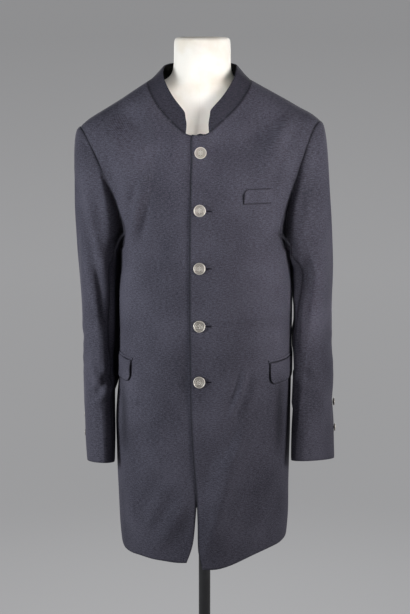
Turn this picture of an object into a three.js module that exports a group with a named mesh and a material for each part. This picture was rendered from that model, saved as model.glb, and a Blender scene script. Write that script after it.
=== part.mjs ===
// Long single-breasted trachten coat on a limbless dress form with a round-base stand.
// Millimetres, +Z up, the front faces -Y and +X is the wearer's left. The origin is the centre of the
// base's underside. "side" is +1 for the wearer's left half of the coat and -1 for the right half.
// An "angle" goes round the body in degrees: -90 is the centre front, 0 the side, +90 the centre back.
import * as THREE from "three";

// ---------------------------------------------------------------- driving sizes

const CLOTH = 2; // wall of body and sleeve cloth
const COLLAR_CLOTH = 2.4;
const SEAM_GAP = 0.3; // between any two neighbouring pieces
const CLEAR = 0.6; // from a panel to what lies on it, enough for the facets of both
const SQUARENESS = 2.3; // superellipse exponent of the body's level sections

// Outer surface of the coat's body, one row a height; shift is how far the section hangs off centre.
const BODY = [
  { z: 545, halfWidth: 166, front: 164, back: 148, shift: -1 },
  { z: 610, halfWidth: 172, front: 164, back: 150, shift: -1 },
  { z: 720, halfWidth: 174.5, front: 163, back: 150, shift: -2 },
  { z: 815, halfWidth: 176, front: 161, back: 149, shift: -2 },
  { z: 925, halfWidth: 172.5, front: 158, back: 146, shift: 2 },
  { z: 1033, halfWidth: 171.5, front: 155, back: 140, shift: 3 },
  { z: 1085, halfWidth: 171.5, front: 152, back: 136, shift: 3 },
  { z: 1143, halfWidth: 168, front: 150, back: 134, shift: 3 },
  { z: 1192, halfWidth: 172, front: 147, back: 134, shift: 1 },
  { z: 1251, halfWidth: 190, front: 141, back: 134, shift: -1 },
  { z: 1300, halfWidth: 212, front: 131, back: 132, shift: -3 },
  { z: 1347, halfWidth: 230, front: 118, back: 122, shift: -5 },
  { z: 1381, halfWidth: 237, front: 106, back: 108, shift: -8 },
  { z: 1405.5, halfWidth: 234, front: 96, back: 97, shift: -9 },
  { z: 1430, halfWidth: 199, front: 86, back: 84, shift: -9 },
  { z: 1450, halfWidth: 165, front: 77, back: 78, shift: -8 },
  { z: 1470, halfWidth: 131, front: 69, back: 72, shift: -8 },
  { z: 1491, halfWidth: 96, front: 62, back: 68, shift: -8 },
];

const NECK_POINT = 1491; // height where shoulder seam and collar meet
const SHOULDER_TIP = 1405.5;
const SHOULDER_DROP = 6.3; // the wearer's right tip hangs this much lower, the left this much higher
const BACK_NECK = 1484; // collar seam at the centre back
const THROAT = 1389; // top of the front edges
const SIDE_SEAM = 16; // angle of the side seams, a little behind the side

// Front neckline from the throat to the neck point: x from the centre, height.
const NECKLINE = [
  { x: -40, z: 1388 },
  { x: 0, z: 1390 },
  { x: 20, z: 1393 },
  { x: 34, z: 1401 },
  { x: 47, z: 1414 },
  { x: 63, z: 1430 },
  { x: 77, z: 1444 },
  { x: 91, z: 1466 },
];
const COLLAR_END = { left: 23, right: 20.5 }; // x of the collar's front ends, from the neck's centre

// Armhole as a rounded oval in angle and height; a higher corner number is squarer.
const ARMHOLE = { top: SHOULDER_TIP, bottom: 1166, frontAngle: 33.5, backAngle: 30 };
const ARMHOLE_CORNERS = { top: 3, frontBottom: 5, backBottom: 3 };
const NOTCH = 1195; // height where the armhole turns under the arm

// The two front edges, absolute x at each height: the left laps over the right as far as the last
// button, and both swing apart below it.
const LAPPING_EDGE = [
  { z: 545, x: 1 },
  { z: 597, x: -2.6 },
  { z: 677, x: -5 },
  { z: 811, x: -14.4 },
  { z: 944, x: -18.5 },
  { z: 1170, x: -19.4 },
  { z: 1389, x: -18.7 },
];
const UNDER_EDGE = [
  { z: 556, x: -21 },
  { z: 596, x: -13.4 },
  { z: 632, x: -9.1 },
  { z: 677, x: -5.3 },
  { z: 811, x: 8 },
  { z: 944, x: 19 },
  { z: 1389, x: 19 },
];
const LAP = { lift: CLOTH + 1.1, full: 40, gone: 95 }; // how far the left front stands off, by x
const HEM_CORNER = 3.6; // how far the front hem corners are drawn in
const HEM_LEVEL = 556; // height that places the front edges at the hem
const MM_PER_DEGREE = 2.75; // length round the body of a degree of its angle

// Hem heights round the body: each side, from the front edge by the side to the centre back.
const HEM = {
  left: [
    { angle: -90, z: 546 },
    { angle: -76, z: 553 },
    { angle: -66, z: 561.5 },
    { angle: -52, z: 572 },
    { angle: -38, z: 577 },
    { angle: 10, z: 575 },
    { angle: 90, z: 571 },
  ],
  right: [
    { angle: -90, z: 556 },
    { angle: -72, z: 561 },
    { angle: -52, z: 562 },
    { angle: -31, z: 558 },
    { angle: 10, z: 557 },
    { angle: 90, z: 571 },
  ],
};

// Largest folds of the body, as soft bands between two points given by angle and height.
// Depth is outwards, so a hollow is negative; reach is the band's half-width.
const FOLDS = [
  { side: -1, angle0: -52, z0: 1418, angle1: -72, z1: 1345, reach: 26, depth: -4 },
  { side: 1, angle0: -52, z0: 1418, angle1: -70, z1: 1350, reach: 26, depth: -4 },
  { side: -1, angle0: -62, z0: 1300, angle1: -44, z1: 1215, reach: 22, depth: 4 },
  { side: 1, angle0: -46, z0: 1385, angle1: -47, z1: 1320, reach: 22, depth: -4 },
  { side: 1, angle0: -70, z0: 930, angle1: -76, z1: 740, reach: 30, depth: 4 },
  { side: 1, angle0: -78, z0: 720, angle1: -84, z1: 560, reach: 34, depth: 4 },
  { side: -1, angle0: -66, z0: 860, angle1: -60, z1: 570, reach: 40, depth: 4 },
  { side: 1, angle0: 48, z0: 960, angle1: 52, z1: 575, reach: 44, depth: 5 },
  { side: -1, angle0: 46, z0: 980, angle1: 50, z1: 575, reach: 44, depth: 5 },
  { side: 1, angle0: 76, z0: 880, angle1: 78, z1: 575, reach: 34, depth: -4 },
  { side: -1, angle0: 74, z0: 900, angle1: 78, z1: 575, reach: 34, depth: -4 },
  { side: 1, angle0: 40, z0: 1330, angle1: 56, z1: 1180, reach: 28, depth: 4 },
  { side: -1, angle0: 40, z0: 1330, angle1: 56, z1: 1180, reach: 28, depth: 4 },
];

// Sleeves below the armhole, one row a height down the spine: centre x (outwards) and y, half of the
// flattened tube's width and of its thickness, the turn of its flat in plan (90 is front to back) and
// the tilt of the section, front edge up.
const SLEEVES = {
  left: [
    { z: 1120, x: 217, y: 0, wide: 68, thick: 36, turn: 90, tilt: 0 },
    { z: 1060, x: 217, y: 4, wide: 67, thick: 36.6, turn: 95, tilt: 0 },
    { z: 960, x: 218, y: 6, wide: 66, thick: 35.4, turn: 104, tilt: 3 },
    { z: 860, x: 219, y: -4, wide: 65, thick: 33, turn: 114, tilt: 7 },
    { z: 790, x: 219, y: -18, wide: 64, thick: 32, turn: 121, tilt: 10 },
    { z: 738, x: 220, y: -31, wide: 62, thick: 30, turn: 126, tilt: 11 },
  ],
  right: [
    { z: 1120, x: 210, y: 0, wide: 68, thick: 39, turn: 90, tilt: 0 },
    { z: 1060, x: 211, y: 4, wide: 67, thick: 36.5, turn: 94, tilt: 0 },
    { z: 960, x: 212.5, y: 3.2, wide: 66, thick: 32.5, turn: 98, tilt: 3 },
    { z: 860, x: 211.5, y: -12.4, wide: 65, thick: 30.8, turn: 101, tilt: 7 },
    { z: 790, x: 210, y: -22.2, wide: 64, thick: 30, turn: 103, tilt: 10 },
    { z: 727, x: 208.5, y: -32, wide: 63, thick: 27, turn: 105, tilt: 12 },
  ],
};
const SLEEVE_HEAD = { left: 10, right: 12.5 }; // how far the sleeve stands out just below the tip
const SLEEVE_UNDER = 5; // the same at the armpit
const ROUND_EASE = 1.2; // keeps the lengthwise lines of a sleeve square to its armhole
const SLEEVE_PINCH = 9; // hollow where the sleeve folds against the chest
const SLEEVE_CREASES = [
  { angle: 60, z: 985, reach: 30, depth: -4 },
  { angle: 120, z: 930, reach: 26, depth: -4 },
  { angle: -40, z: 900, reach: 40, depth: 3 },
];

// Heights and inward leans of the collar; its ends stand upright and its top corners are rounded.
const COLLAR = {
  front: 31,
  back: 40,
  leanFront: 20,
  leanSide: 44,
  leanBack: 8,
  upright: 36,
  corner: 16,
  cornerSteps: [0, 0.08, 0.3, 0.62, 1],
  rows: [0, 0.35, 0.7, 1],
};

const BUTTON = { radius: 11.5, thick: 2.6, shank: 1.2, shankRadius: 3.5, rim: 1.4, dish: 0.5 };
const BUTTON_HEIGHTS = [1356, 1251, 1143, 1033, 925];
const CUFF_BUTTON = { radius: 7.5, thick: 2.2, shank: 1, shankRadius: 2.5, rim: 1.1, dish: 0.4 };
const CUFF_BUTTONS = { left: [846, 797], right: [817, 780] };
const CUFF_BUTTON_ANGLE = { left: -50, right: -38 }; // round the sleeve, beside the back seam
const BUTTON_SEAT = -0.05; // from the true surface, which the front's facets lie a little inside

// Breast welt between two x; hip flaps between two angles; jets along the tops of the flaps.
const WELT = { x0: 81.5, x1: 142, z: 1262.5, height: 28.5, corner: 12, thick: 2 };
const FLAP = {
  start: { left: -43.5, right: -39 },
  end: 12,
  top: 954,
  height: 44.5,
  corner: 17,
  thick: 2,
};
const JET = { height: 5, thick: 1.2 };

// Dress form under the coat, one row a height; it follows the coat's shoulders 0.3 to 1 mm inside.
const FORM = [
  { z: 800, halfWidth: 132, front: 112, back: 108 },
  { z: 830, halfWidth: 143, front: 122, back: 118 },
  { z: 930, halfWidth: 150, front: 128, back: 124 },
  { z: 1060, halfWidth: 130, front: 114, back: 104 },
  { z: 1160, halfWidth: 140, front: 124, back: 112 },
  { z: 1250, halfWidth: 160, front: 122, back: 116 },
  { z: 1330, halfWidth: 178, front: 106, back: 106 },
  { z: 1385, halfWidth: 187, front: 90, back: 90 },
  { z: 1412, halfWidth: 190, front: 80, back: 80 },
  { z: 1428, halfWidth: 188, front: 75, back: 75 },
  { z: 1440, halfWidth: 174.5, front: 71, back: 71 },
  { z: 1450, halfWidth: 157, front: 68, back: 68 },
  { z: 1460, halfWidth: 140, front: 65, back: 65 },
  { z: 1470, halfWidth: 122, front: 62, back: 62 },
  { z: 1478, halfWidth: 103, front: 60, back: 60 },
  { z: 1485, halfWidth: 82, front: 58, back: 58 },
  { z: 1494, halfWidth: 62, front: 57, back: 57 },
  { z: 1510, halfWidth: 56, front: 56, back: 56 },
  { z: 1540, halfWidth: 55.5, front: 55.5, back: 55.5 },
  { z: 1564, halfWidth: 55.5, front: 55.5, back: 55.5 },
  { z: 1570, halfWidth: 52, front: 52, back: 52 },
  { z: 1572.5, halfWidth: 42, front: 42, back: 42 },
];
const FORM_SEGMENTS = 36;
const NECK_SHIFT = 3.8; // the form's neck stands this much further left than the coat's collar

const POLE_RADIUS = 12;
const BASE = { radius: 200, thick: 12, bevel: 3, hubRadius: 28, hubTop: 52, socket: 8 };

// Grid cells of the body panels.
const GRID = { rows: 16, frontUp: [5, 2, 5], backUp: [7, 5], chest: 7, underFront: 5, underBack: 2 };
const SLEEVE_GRID = { head: [0.02, 0.07, 0.16, 0.3, 0.48, 0.72], rows: 9 };

// ---------------------------------------------------------------- finishes

const finish = (color, roughness, metalness = 0) =>
  new THREE.MeshStandardMaterial({ color, roughness, metalness });
const WOOL = finish(0x4a4854, 0.9);
const COLLAR_WOOL = finish(0x3b3a40, 0.95);
const PEWTER = finish(0xb9b7b1, 0.4, 0.9);
const LINEN = finish(0xe9e3d6, 0.85);
const BLACK_PAINT = finish(0x232326, 0.45, 0.2);

// ---------------------------------------------------------------- small mathematics

const RAD = Math.PI / 180;
const lerp = (a, b, t) => a + (b - a) * t;
const clamp = (t, low = 0, high = 1) => Math.min(high, Math.max(low, t));
const smooth = (t) => clamp(t) ** 2 * (3 - 2 * clamp(t));
const signedPower = (v, p) => Math.sign(v) * Math.abs(v) ** p;
const sideName = (side) => (side > 0 ? "left" : "right");
const steps = (n) => Array.from({ length: n + 1 }, (_, i) => i / n);

// How far a rounded corner falls below its straight edge, at a distance in from the corner's side.
const cornerDrop = (distance, radius) =>
  radius - Math.sqrt(radius ** 2 - (radius - Math.min(distance, radius)) ** 2);

// Smooth value of a table's column between its rows, without overshoot (monotone cubic).
function column(rows, by, name, at) {
  const last = rows.length - 1;
  const grade = (i) => (rows[i + 1][name] - rows[i][name]) / (rows[i + 1][by] - rows[i][by]);
  const slope = (i) => {
    if (i === 0) return grade(0);
    if (i === last) return grade(last - 1);
    const [a, b] = [grade(i - 1), grade(i)];
    return a * b <= 0 ? 0 : (2 * a * b) / (a + b);
  };
  if (at <= rows[0][by]) return rows[0][name];
  if (at >= rows[last][by]) return rows[last][name];
  let i = 0;
  while (at > rows[i + 1][by]) i++;
  const span = rows[i + 1][by] - rows[i][by];
  const t = (at - rows[i][by]) / span;
  const pull = (t - 1) * (slope(i) * (t - 1) + slope(i + 1) * t) * t * span;
  return lerp(rows[i][name], rows[i + 1][name], smooth(t)) + pull;
}

// count + 1 points evenly spaced along a curve given as a function of 0..1, judged by its 3-D length.
function evenly(curve, place, count) {
  const fine = steps(160);
  const reach = [0];
  for (let i = 1; i < fine.length; i++) {
    const gap = place(curve(fine[i])).distanceTo(place(curve(fine[i - 1])));
    reach.push(reach[i - 1] + gap);
  }
  return steps(count).map((share) => {
    const goal = share * reach.at(-1);
    let i = 1;
    while (i < reach.length - 1 && reach[i] < goal) i++;
    const t = (goal - reach[i - 1]) / (reach[i] - reach[i - 1]);
    return curve(lerp(fine[i - 1], fine[i], clamp(t)));
  });
}

// ---------------------------------------------------------------- the body's surface

// The coat hangs a little off centre and lower on the wearer's right shoulder.
function hang(x, y, z) {
  const out = clamp((Math.abs(x) - 96) / 138);
  const high = smooth((z - 1250) / 140);
  return new THREE.Vector3(
    x + column(BODY, "z", "shift", z),
    y,
    z + Math.sign(x) * SHOULDER_DROP * out * high,
  );
}

function ring(table, side, angle, z, squareness) {
  const depth = column(table, "z", angle < 0 ? "front" : "back", z);
  const x = column(table, "z", "halfWidth", z) * signedPower(Math.cos(angle * RAD), 2 / squareness);
  return hang(side * x, depth * signedPower(Math.sin(angle * RAD), 2 / squareness), z);
}

const bodyPoint = (side, angle, z) => ring(BODY, side, angle, z, SQUARENESS);

function bodyNormal(side, angle, z) {
  const round = bodyPoint(side, angle + 1.5, z).sub(bodyPoint(side, angle - 1.5, z));
  const up = bodyPoint(side, angle, Math.min(z + 4, NECK_POINT)).sub(bodyPoint(side, angle, z - 4));
  return round.cross(up).multiplyScalar(side).normalize();
}

// Angle on the front of the body at an x measured outwards from the section's own centre.
function frontAngle(x, z) {
  const share = x / column(BODY, "z", "halfWidth", z);
  return -Math.acos(signedPower(clamp(share, -1, 1), SQUARENESS / 2)) / RAD;
}

const edgeAngle = (side, z) => {
  const x = column(side > 0 ? LAPPING_EDGE : UNDER_EDGE, "z", "x", z);
  return frontAngle(side * (x - column(BODY, "z", "shift", z)), z);
};

// Distance of a point from a fold's line, in millimetres on the body, and how far along it lies.
function foldShape(fold, angle, z) {
  const run = [(fold.angle1 - fold.angle0) * MM_PER_DEGREE, fold.z1 - fold.z0];
  const from = [(angle - fold.angle0) * MM_PER_DEGREE, z - fold.z0];
  const length = Math.hypot(...run);
  const along = (from[0] * run[0] + from[1] * run[1]) / length ** 2;
  const off = Math.abs(from[0] * run[1] - from[1] * run[0]) / length;
  const across = off < fold.reach ? Math.cos((off / fold.reach) * (Math.PI / 2)) ** 2 : 0;
  return across * smooth((along + 0.25) / 0.4) * smooth((1.25 - along) / 0.4);
}

function foldOffset(side, angle, z) {
  const own = FOLDS.filter((fold) => fold.side === side);
  return own.reduce((sum, fold) => sum + fold.depth * foldShape(fold, angle, z), 0);
}

const lapOffset = (side, x) =>
  side > 0 ? LAP.lift * (1 - smooth((x - LAP.full) / (LAP.gone - LAP.full))) : 0;

// A point of the coat's outer face with its outward normal.
function clothPoint(side, angle, z, extra = 0) {
  const p = bodyPoint(side, angle, z);
  const n = bodyNormal(side, angle, z);
  const lap = angle < -40 ? lapOffset(side, p.x) : 0;
  p.addScaledVector(n, lap + foldOffset(side, angle, z) + extra);
  return { p, n };
}

// ---------------------------------------------------------------- sheets and walls

// A sheet is a set of quads between shared points; each point has a place and an outward normal.
class Sheet {
  constructor() {
    this.points = [];
    this.quads = [];
    this.seen = new Map();
  }

  index(point) {
    const key = point.p.toArray().map((v) => v.toFixed(3)).join();
    if (!this.seen.has(key)) {
      this.seen.set(key, this.points.length);
      this.points.push({ p: point.p.clone(), n: point.n.clone() });
    }
    return this.seen.get(key);
  }

  // rows of points, each as long as the next; the quads' fronts are turned to the points' normals
  grid(rows) {
    const ids = rows.map((row) => row.map((point) => this.index(point)));
    const made = [];
    for (let j = 0; j + 1 < ids.length; j++)
      for (let i = 0; i + 1 < ids[j].length; i++)
        made.push([ids[j][i], ids[j][i + 1], ids[j + 1][i + 1], ids[j + 1][i]]);
    const facing = made.reduce((sum, quad) => {
      const [a, b, c, d] = quad.map((id) => this.points[id]);
      const face = c.p.clone().sub(a.p).cross(d.p.clone().sub(b.p)).normalize();
      return sum + face.dot(a.n) + face.dot(c.n);
    }, 0);
    this.quads.push(...made.map((quad) => (facing < 0 ? quad.reverse() : quad)));
    return this;
  }

  border() {
    const edges = new Map();
    for (const quad of this.quads)
      quad.forEach((a, i) => {
        const b = quad[(i + 1) % 4];
        if (!edges.delete(b + "_" + a)) edges.set(a + "_" + b, [a, b]);
      });
    return [...edges.values()];
  }

  // draws the border in by half a seam, square to each of its edges
  trim(by = SEAM_GAP / 2) {
    const moves = new Map();
    for (const [a, b] of this.border()) {
      const edge = this.points[b].p.clone().sub(this.points[a].p);
      const inwards = this.points[a].n.clone().cross(edge).normalize();
      for (const id of [a, b]) moves.set(id, [...(moves.get(id) ?? []), inwards]);
    }
    for (const [id, [u, v]] of moves) {
      const share = by / (1 + u.dot(v));
      this.points[id].p.addScaledVector(u, share).addScaledVector(v, share);
    }
    return this;
  }

  // the closed wall between the sheet and its inner copy
  wall(thick = CLOTH) {
    const count = this.points.length;
    const inner = this.points.map(({ p, n }) => p.clone().addScaledVector(n, -thick));
    const vertices = [...this.points.map(({ p }) => p), ...inner].flatMap((p) => p.toArray());
    const faces = [];
    for (const [a, b, c, d] of this.quads) {
      faces.push(a, b, c, a, c, d);
      faces.push(a + count, c + count, b + count, a + count, d + count, c + count);
    }
    const height = (id) => this.points[id].p.z + this.points[id].p.y / 16;
    for (const [a, b] of this.border()) {
      // neighbours meet at a border, so both cut its quads across from the same end
      if (height(a) > height(b)) faces.push(b, a, a + count, b, a + count, b + count);
      else faces.push(b, a, b + count, a, a + count, b + count);
    }
    return solid(vertices, faces);
  }
}

function solid(vertices, faces) {
  return new THREE.BufferGeometry()
    .setAttribute("position", new THREE.Float32BufferAttribute(vertices, 3))
    .setIndex(faces);
}

// A closed solid through rings of equal length, bottom first, with flat fans at both ends.
function loft(rings) {
  const count = rings[0].length;
  const vertices = rings.flat().flatMap((p) => p.toArray());
  const faces = [];
  for (let j = 0; j + 1 < rings.length; j++)
    for (let i = 0; i < count; i++) {
      const [a, b] = [j * count + i, j * count + ((i + 1) % count)];
      faces.push(a, b, b + count, a, b + count, a + count);
    }
  for (const [j, turn] of [[0, -1], [rings.length - 1, 1]]) {
    const middle = rings[j].reduce((sum, p) => sum.add(p), new THREE.Vector3()).divideScalar(count);
    const hub = vertices.push(...middle.toArray()) / 3 - 1;
    for (let i = 0; i < count; i++) {
      const [a, b] = [j * count + i, j * count + ((i + 1) % count)];
      faces.push(hub, ...(turn > 0 ? [a, b] : [b, a]));
    }
  }
  return solid(vertices, faces);
}

const coat = new THREE.Group();
const stand = new THREE.Group();

function add(group, name, geometry, material) {
  const mesh = new THREE.Mesh(geometry, material);
  mesh.name = name;
  group.add(mesh);
  return mesh;
}

// ---------------------------------------------------------------- body panels

// Armhole of one half of the body from its bottom to the shoulder tip, t from 0 to 1.
function armholeBranch(front) {
  const middle = (ARMHOLE.top + ARMHOLE.bottom) / 2;
  const half = (ARMHOLE.top - ARMHOLE.bottom) / 2;
  const wide = front ? -ARMHOLE.frontAngle : ARMHOLE.backAngle;
  return (t) => {
    const turn = (t - 0.5) * 180 * RAD;
    const lower = front ? ARMHOLE_CORNERS.frontBottom : ARMHOLE_CORNERS.backBottom;
    const power = 2 / (turn < 0 ? lower : ARMHOLE_CORNERS.top);
    return {
      angle: wide * signedPower(Math.cos(turn), power),
      z: middle + half * signedPower(Math.sin(turn), power),
    };
  };
}

// Share of an armhole branch at which a test first holds.
function shareWhere(branch, test) {
  return steps(2000).find((t) => test(branch(t)));
}

const part = (curve, from, to) => (t) => curve(lerp(from, to, t));
const join = (curves, counts, place) =>
  curves.flatMap((curve, i) => evenly(curve, place, counts[i]).slice(i ? 1 : 0));

// Outlines of one half of the coat, in angle and height, as matching lists of points.
function outlines(side) {
  const place = ({ angle, z }) => bodyPoint(side, angle, z);
  const collarEnd = COLLAR_END[sideName(side)];
  const front = armholeBranch(true);
  const back = armholeBranch(false);
  const frontNotch = shareWhere(front, ({ z }) => z >= NOTCH);
  const backNotch = shareWhere(back, ({ z }) => z >= NOTCH + 5);
  const seamTop = shareWhere(back, ({ angle }) => angle >= SIDE_SEAM);
  const underFront = (t) => {
    const both = 1 + seamTop / frontNotch;
    return t * both < 1 ? front(frontNotch * (1 - t * both)) : back((t * both - 1) * frontNotch);
  };
  const tipToNeck = (t) => ({ angle: 0, z: lerp(SHOULDER_TIP, NECK_POINT, t) });
  const neck = (t) => {
    const x = lerp(collarEnd, NECKLINE.at(-1).x, t / 0.75);
    const z = column(NECKLINE, "x", "z", x);
    const last = frontAngle(NECKLINE.at(-1).x, NECKLINE.at(-1).z);
    if (t <= 0.75) return { angle: frontAngle(x, z), z };
    const rest = (t - 0.75) / 0.25;
    const rise = Math.sin(rest * 90 * RAD);
    return { angle: last * (1 - rest), z: lerp(NECKLINE.at(-1).z, NECK_POINT, rise) };
  };
  const start = side * (column(side > 0 ? LAPPING_EDGE : UNDER_EDGE, "z", "x", THROAT)
    - column(BODY, "z", "shift", THROAT));
  const throat = (t) => {
    const x = lerp(start, collarEnd, t);
    const z = column(NECKLINE, "x", "z", x);
    return { angle: frontAngle(x, z), z };
  };
  const throatHeight = throat(0).z;
  const edge = (t) => {
    const z = lerp(NOTCH, throatHeight, t);
    return { angle: edgeAngle(side, z), z };
  };
  const centreBack = (t) => ({ angle: 90, z: lerp(NOTCH, BACK_NECK, t) });
  const backNeck = (t) => ({ angle: 90 * (1 - t), z: lerp(BACK_NECK, NECK_POINT, t ** 3) });
  const collarFront = evenly(neck, place, GRID.frontUp[2]);
  return {
    place,
    shoulder: evenly(tipToNeck, place, GRID.chest).reverse(),
    frontInner: [
      ...join([edge, throat], GRID.frontUp, place),
      ...collarFront.slice(1),
    ],
    collarFront,
    backInner: join([centreBack, backNeck], GRID.backUp, place),
    collarBack: evenly(backNeck, place, GRID.backUp[1]),
    frontHole: evenly(part(front, frontNotch, 1), place, GRID.frontUp.reduce((a, b) => a + b)),
    frontUnder: evenly(underFront, place, GRID.underFront),
    backHole: evenly(part(back, backNotch, 1), place, GRID.backUp.reduce((a, b) => a + b)),
    backUnder: evenly(part(back, backNotch, seamTop), place, GRID.underBack),
  };
}

const hemHeight = (side, angle) => column(HEM[sideName(side)], "angle", "z", angle);

// Grid from the centre to the side, below the line "top"; rows run from the hem up.
function lowerRows(side, top, centreAngle, hasCorner) {
  const last = top.length - 1;
  const centreTop = top[0].angle;
  const shares = top.map(({ angle }) => (angle - centreTop) / (top[last].angle - centreTop));
  return steps(GRID.rows).map((v, j) =>
    shares.map((u, i) => {
      const hem = hemHeight(side, lerp(centreAngle(HEM_LEVEL), top[last].angle, u));
      let z = lerp(hem, top[i].z, v);
      let angle = lerp(centreAngle(z), top[last].angle, u);
      if (hasCorner && i === 0 && j === 0) {
        z += HEM_CORNER;
        angle += HEM_CORNER / MM_PER_DEGREE;
      }
      return j === GRID.rows ? top[i] : { angle, z };
    }),
  );
}
// Coons patch between four outlines in angle and height.
function upperRows(bottom, top, inner, outer) {
  const columns = bottom.length - 1;
  const rows = inner.length - 1;
  const at = (name, i, j) => {
    const [u, v] = [i / columns, j / rows];
    const sides = lerp(inner[j][name], outer[j][name], u);
    const ends = lerp(bottom[i][name], top[i][name], v);
    const corners = lerp(
      lerp(bottom[0][name], bottom[columns][name], u),
      lerp(top[0][name], top[columns][name], u),
      v,
    );
    return sides + ends - corners;
  };
  return steps(rows).map((_, j) =>
    steps(columns).map((_, i) => ({ angle: at("angle", i, j), z: at("z", i, j) })));
}

const levelLine = (from, to) =>
  steps(GRID.chest).map((t) => ({ angle: lerp(from.angle, to.angle, t), z: lerp(from.z, to.z, t) }));

function bodyPanel(side, inner, hole, under, shoulder, centreAngle, hasCorner) {
  const chest = levelLine(inner[0], hole[0]);
  const top = [...chest, ...under.slice(1)];
  const placed = (rows) => rows.map((row) => row.map(({ angle, z }) => clothPoint(side, angle, z)));
  return new Sheet()
    .grid(placed(lowerRows(side, top, centreAngle, hasCorner)))
    .grid(placed(upperRows(chest, shoulder, inner, hole)))
    .trim();
}

// ---------------------------------------------------------------- sleeves

// Section point of the tube below the armhole; round is 0 outwards, 90 forwards, 180 by the body.
function sleevePoint(side, z, round) {
  const table = SLEEVES[sideName(side)];
  const rows = [...table].reverse();
  const at = (name) => column(rows, "z", name, z);
  const turn = at("turn") * RAD;
  const [s, c] = [Math.sin(round * RAD), Math.cos(round * RAD)];
  const x = at("wide") * s * Math.cos(turn) + at("thick") * c * Math.sin(turn);
  const y = -at("wide") * s * Math.sin(turn) + at("thick") * c * Math.cos(turn);
  const rise = -y * Math.tan(at("tilt") * RAD);
  const p = new THREE.Vector3(side * (at("x") + x), at("y") + y, z + rise);
  const out = new THREE.Vector3(side * x, y, 0).normalize();
  return p.addScaledVector(out, creaseOffset(round, z));
}

function creaseOffset(round, z) {
  const wrapped = round > 180 ? round - 360 : round;
  return SLEEVE_CREASES.reduce((sum, { angle, z: level, reach, depth }) => {
    const slope = level + (wrapped - angle) * 0.5;
    const across = clamp(1 - Math.abs(z - slope) / reach);
    const along = clamp(1 - Math.abs(wrapped - angle) / 70);
    return sum + depth * smooth(across) * smooth(along);
  }, 0);
}

// Rings of one sleeve from the armhole down to the cuff, all starting at the shoulder tip.
function sleeveRings(side, hole) {
  const table = SLEEVES[sideName(side)];
  const head = SLEEVE_HEAD[sideName(side)];
  const top = table[0].z;
  const rings = [hole.map(({ p }) => p.clone())];
  for (const t of [...SLEEVE_GRID.head, 1]) {
    rings.push(
      hole.map(({ p, round }) => {
        const out = (1 + Math.cos(round * RAD)) / 2;
        const end = sleevePoint(side, top, round);
        const at = p.clone().lerp(end, t);
        const swell = Math.sin(Math.PI * t ** 0.45);
        at.x += side * lerp(SLEEVE_UNDER, head, out) * swell;
        const corner = smooth(1 - Math.abs(round - 140) / 60);
        at.y += SLEEVE_PINCH * corner * Math.sin(Math.PI * t);
        return at;
      }),
    );
  }
  for (const t of steps(SLEEVE_GRID.rows).slice(1)) {
    const z = lerp(top, table.at(-1).z, t);
    rings.push(hole.map(({ round }) => sleevePoint(side, z, round)));
  }
  return rings;
}

// Both pieces of one sleeve, cut at the front seam and the back seam.
function sleeveSheets(side, hole, frontSeam, backSeam) {
  const rings = sleeveRings(side, hole);
  const count = hole.length;
  const at = (j, i) => rings[clamp(j, 0, rings.length - 1)][(i + count) % count];
  const points = rings.map((tube, j) =>
    tube.map((p, i) => {
      const round = at(j, i + 1).clone().sub(at(j, i - 1));
      const down = at(j + 1, i).clone().sub(at(j - 1, i));
      const n = j ? down.cross(round).multiplyScalar(-side).normalize() : hole[i].n.clone();
      return { p, n };
    }),
  );
  const columns = (from, to) =>
    Array.from({ length: to - from + 1 }, (_, i) => (from + i + count) % count);
  const cut = (ids) => new Sheet().grid(points.map((row) => ids.map((i) => row[i]))).trim();
  return {
    upper: cut(columns(backSeam - count, frontSeam)),
    under: cut(columns(frontSeam, backSeam)),
  };
}

// ---------------------------------------------------------------- collar

function collarSheet(base) {
  const centre = new THREE.Vector3(column(BODY, "z", "shift", NECK_POINT), 0, 0);
  const reach = [0];
  for (let i = 1; i < base.length; i++) reach.push(reach[i - 1] + base[i].distanceTo(base[i - 1]));
  const total = reach.at(-1);
  const ends = COLLAR.cornerSteps.map((t) => t * COLLAR.corner);
  const clear = COLLAR.corner + 4;
  const between = reach.filter((s) => s > clear && s < total - clear);
  const stops = [...ends, ...between, ...ends.map((s) => total - s).reverse()];
  const along = (s) => {
    let i = 1;
    while (i < reach.length - 1 && reach[i] < s) i++;
    return base[i - 1].clone().lerp(base[i], (s - reach[i - 1]) / (reach[i] - reach[i - 1]));
  };
  const lines = stops.map((s) => {
    const p = along(s);
    const tangent = along(Math.min(s + 12, total)).sub(along(Math.max(s - 12, 0))).normalize();
    const inwards = centre.clone().sub(p).setZ(0).normalize();
    const bearing = Math.atan2(p.y, Math.abs(p.x - centre.x)) / RAD;
    const lean = bearing < 0
      ? lerp(COLLAR.leanSide, COLLAR.leanFront, smooth(-bearing / 75))
      : lerp(COLLAR.leanSide, COLLAR.leanBack, smooth(bearing / 80));
    const up = new THREE.Vector3(0, 0, Math.cos(lean * RAD)).addScaledVector(inwards, Math.sin(lean * RAD));
    const fromEnd = Math.min(s, total - s);
    const square = smooth(fromEnd / COLLAR.upright);
    up.addScaledVector(tangent, -up.dot(tangent) * square).normalize();
    const n = tangent.clone().cross(up);
    if (n.dot(inwards) > 0) n.negate();
    n.normalize();
    const full = lerp(COLLAR.front, COLLAR.back, smooth((bearing + 80) / 120));
    const height = full - cornerDrop(fromEnd, COLLAR.corner);
    return COLLAR.rows.map((t) => ({ p: p.clone().addScaledVector(up, height * t), n }));
  });
  return new Sheet().grid(COLLAR.rows.map((_, j) => lines.map((line) => line[j]))).trim();
}

// ---------------------------------------------------------------- pockets

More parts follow.
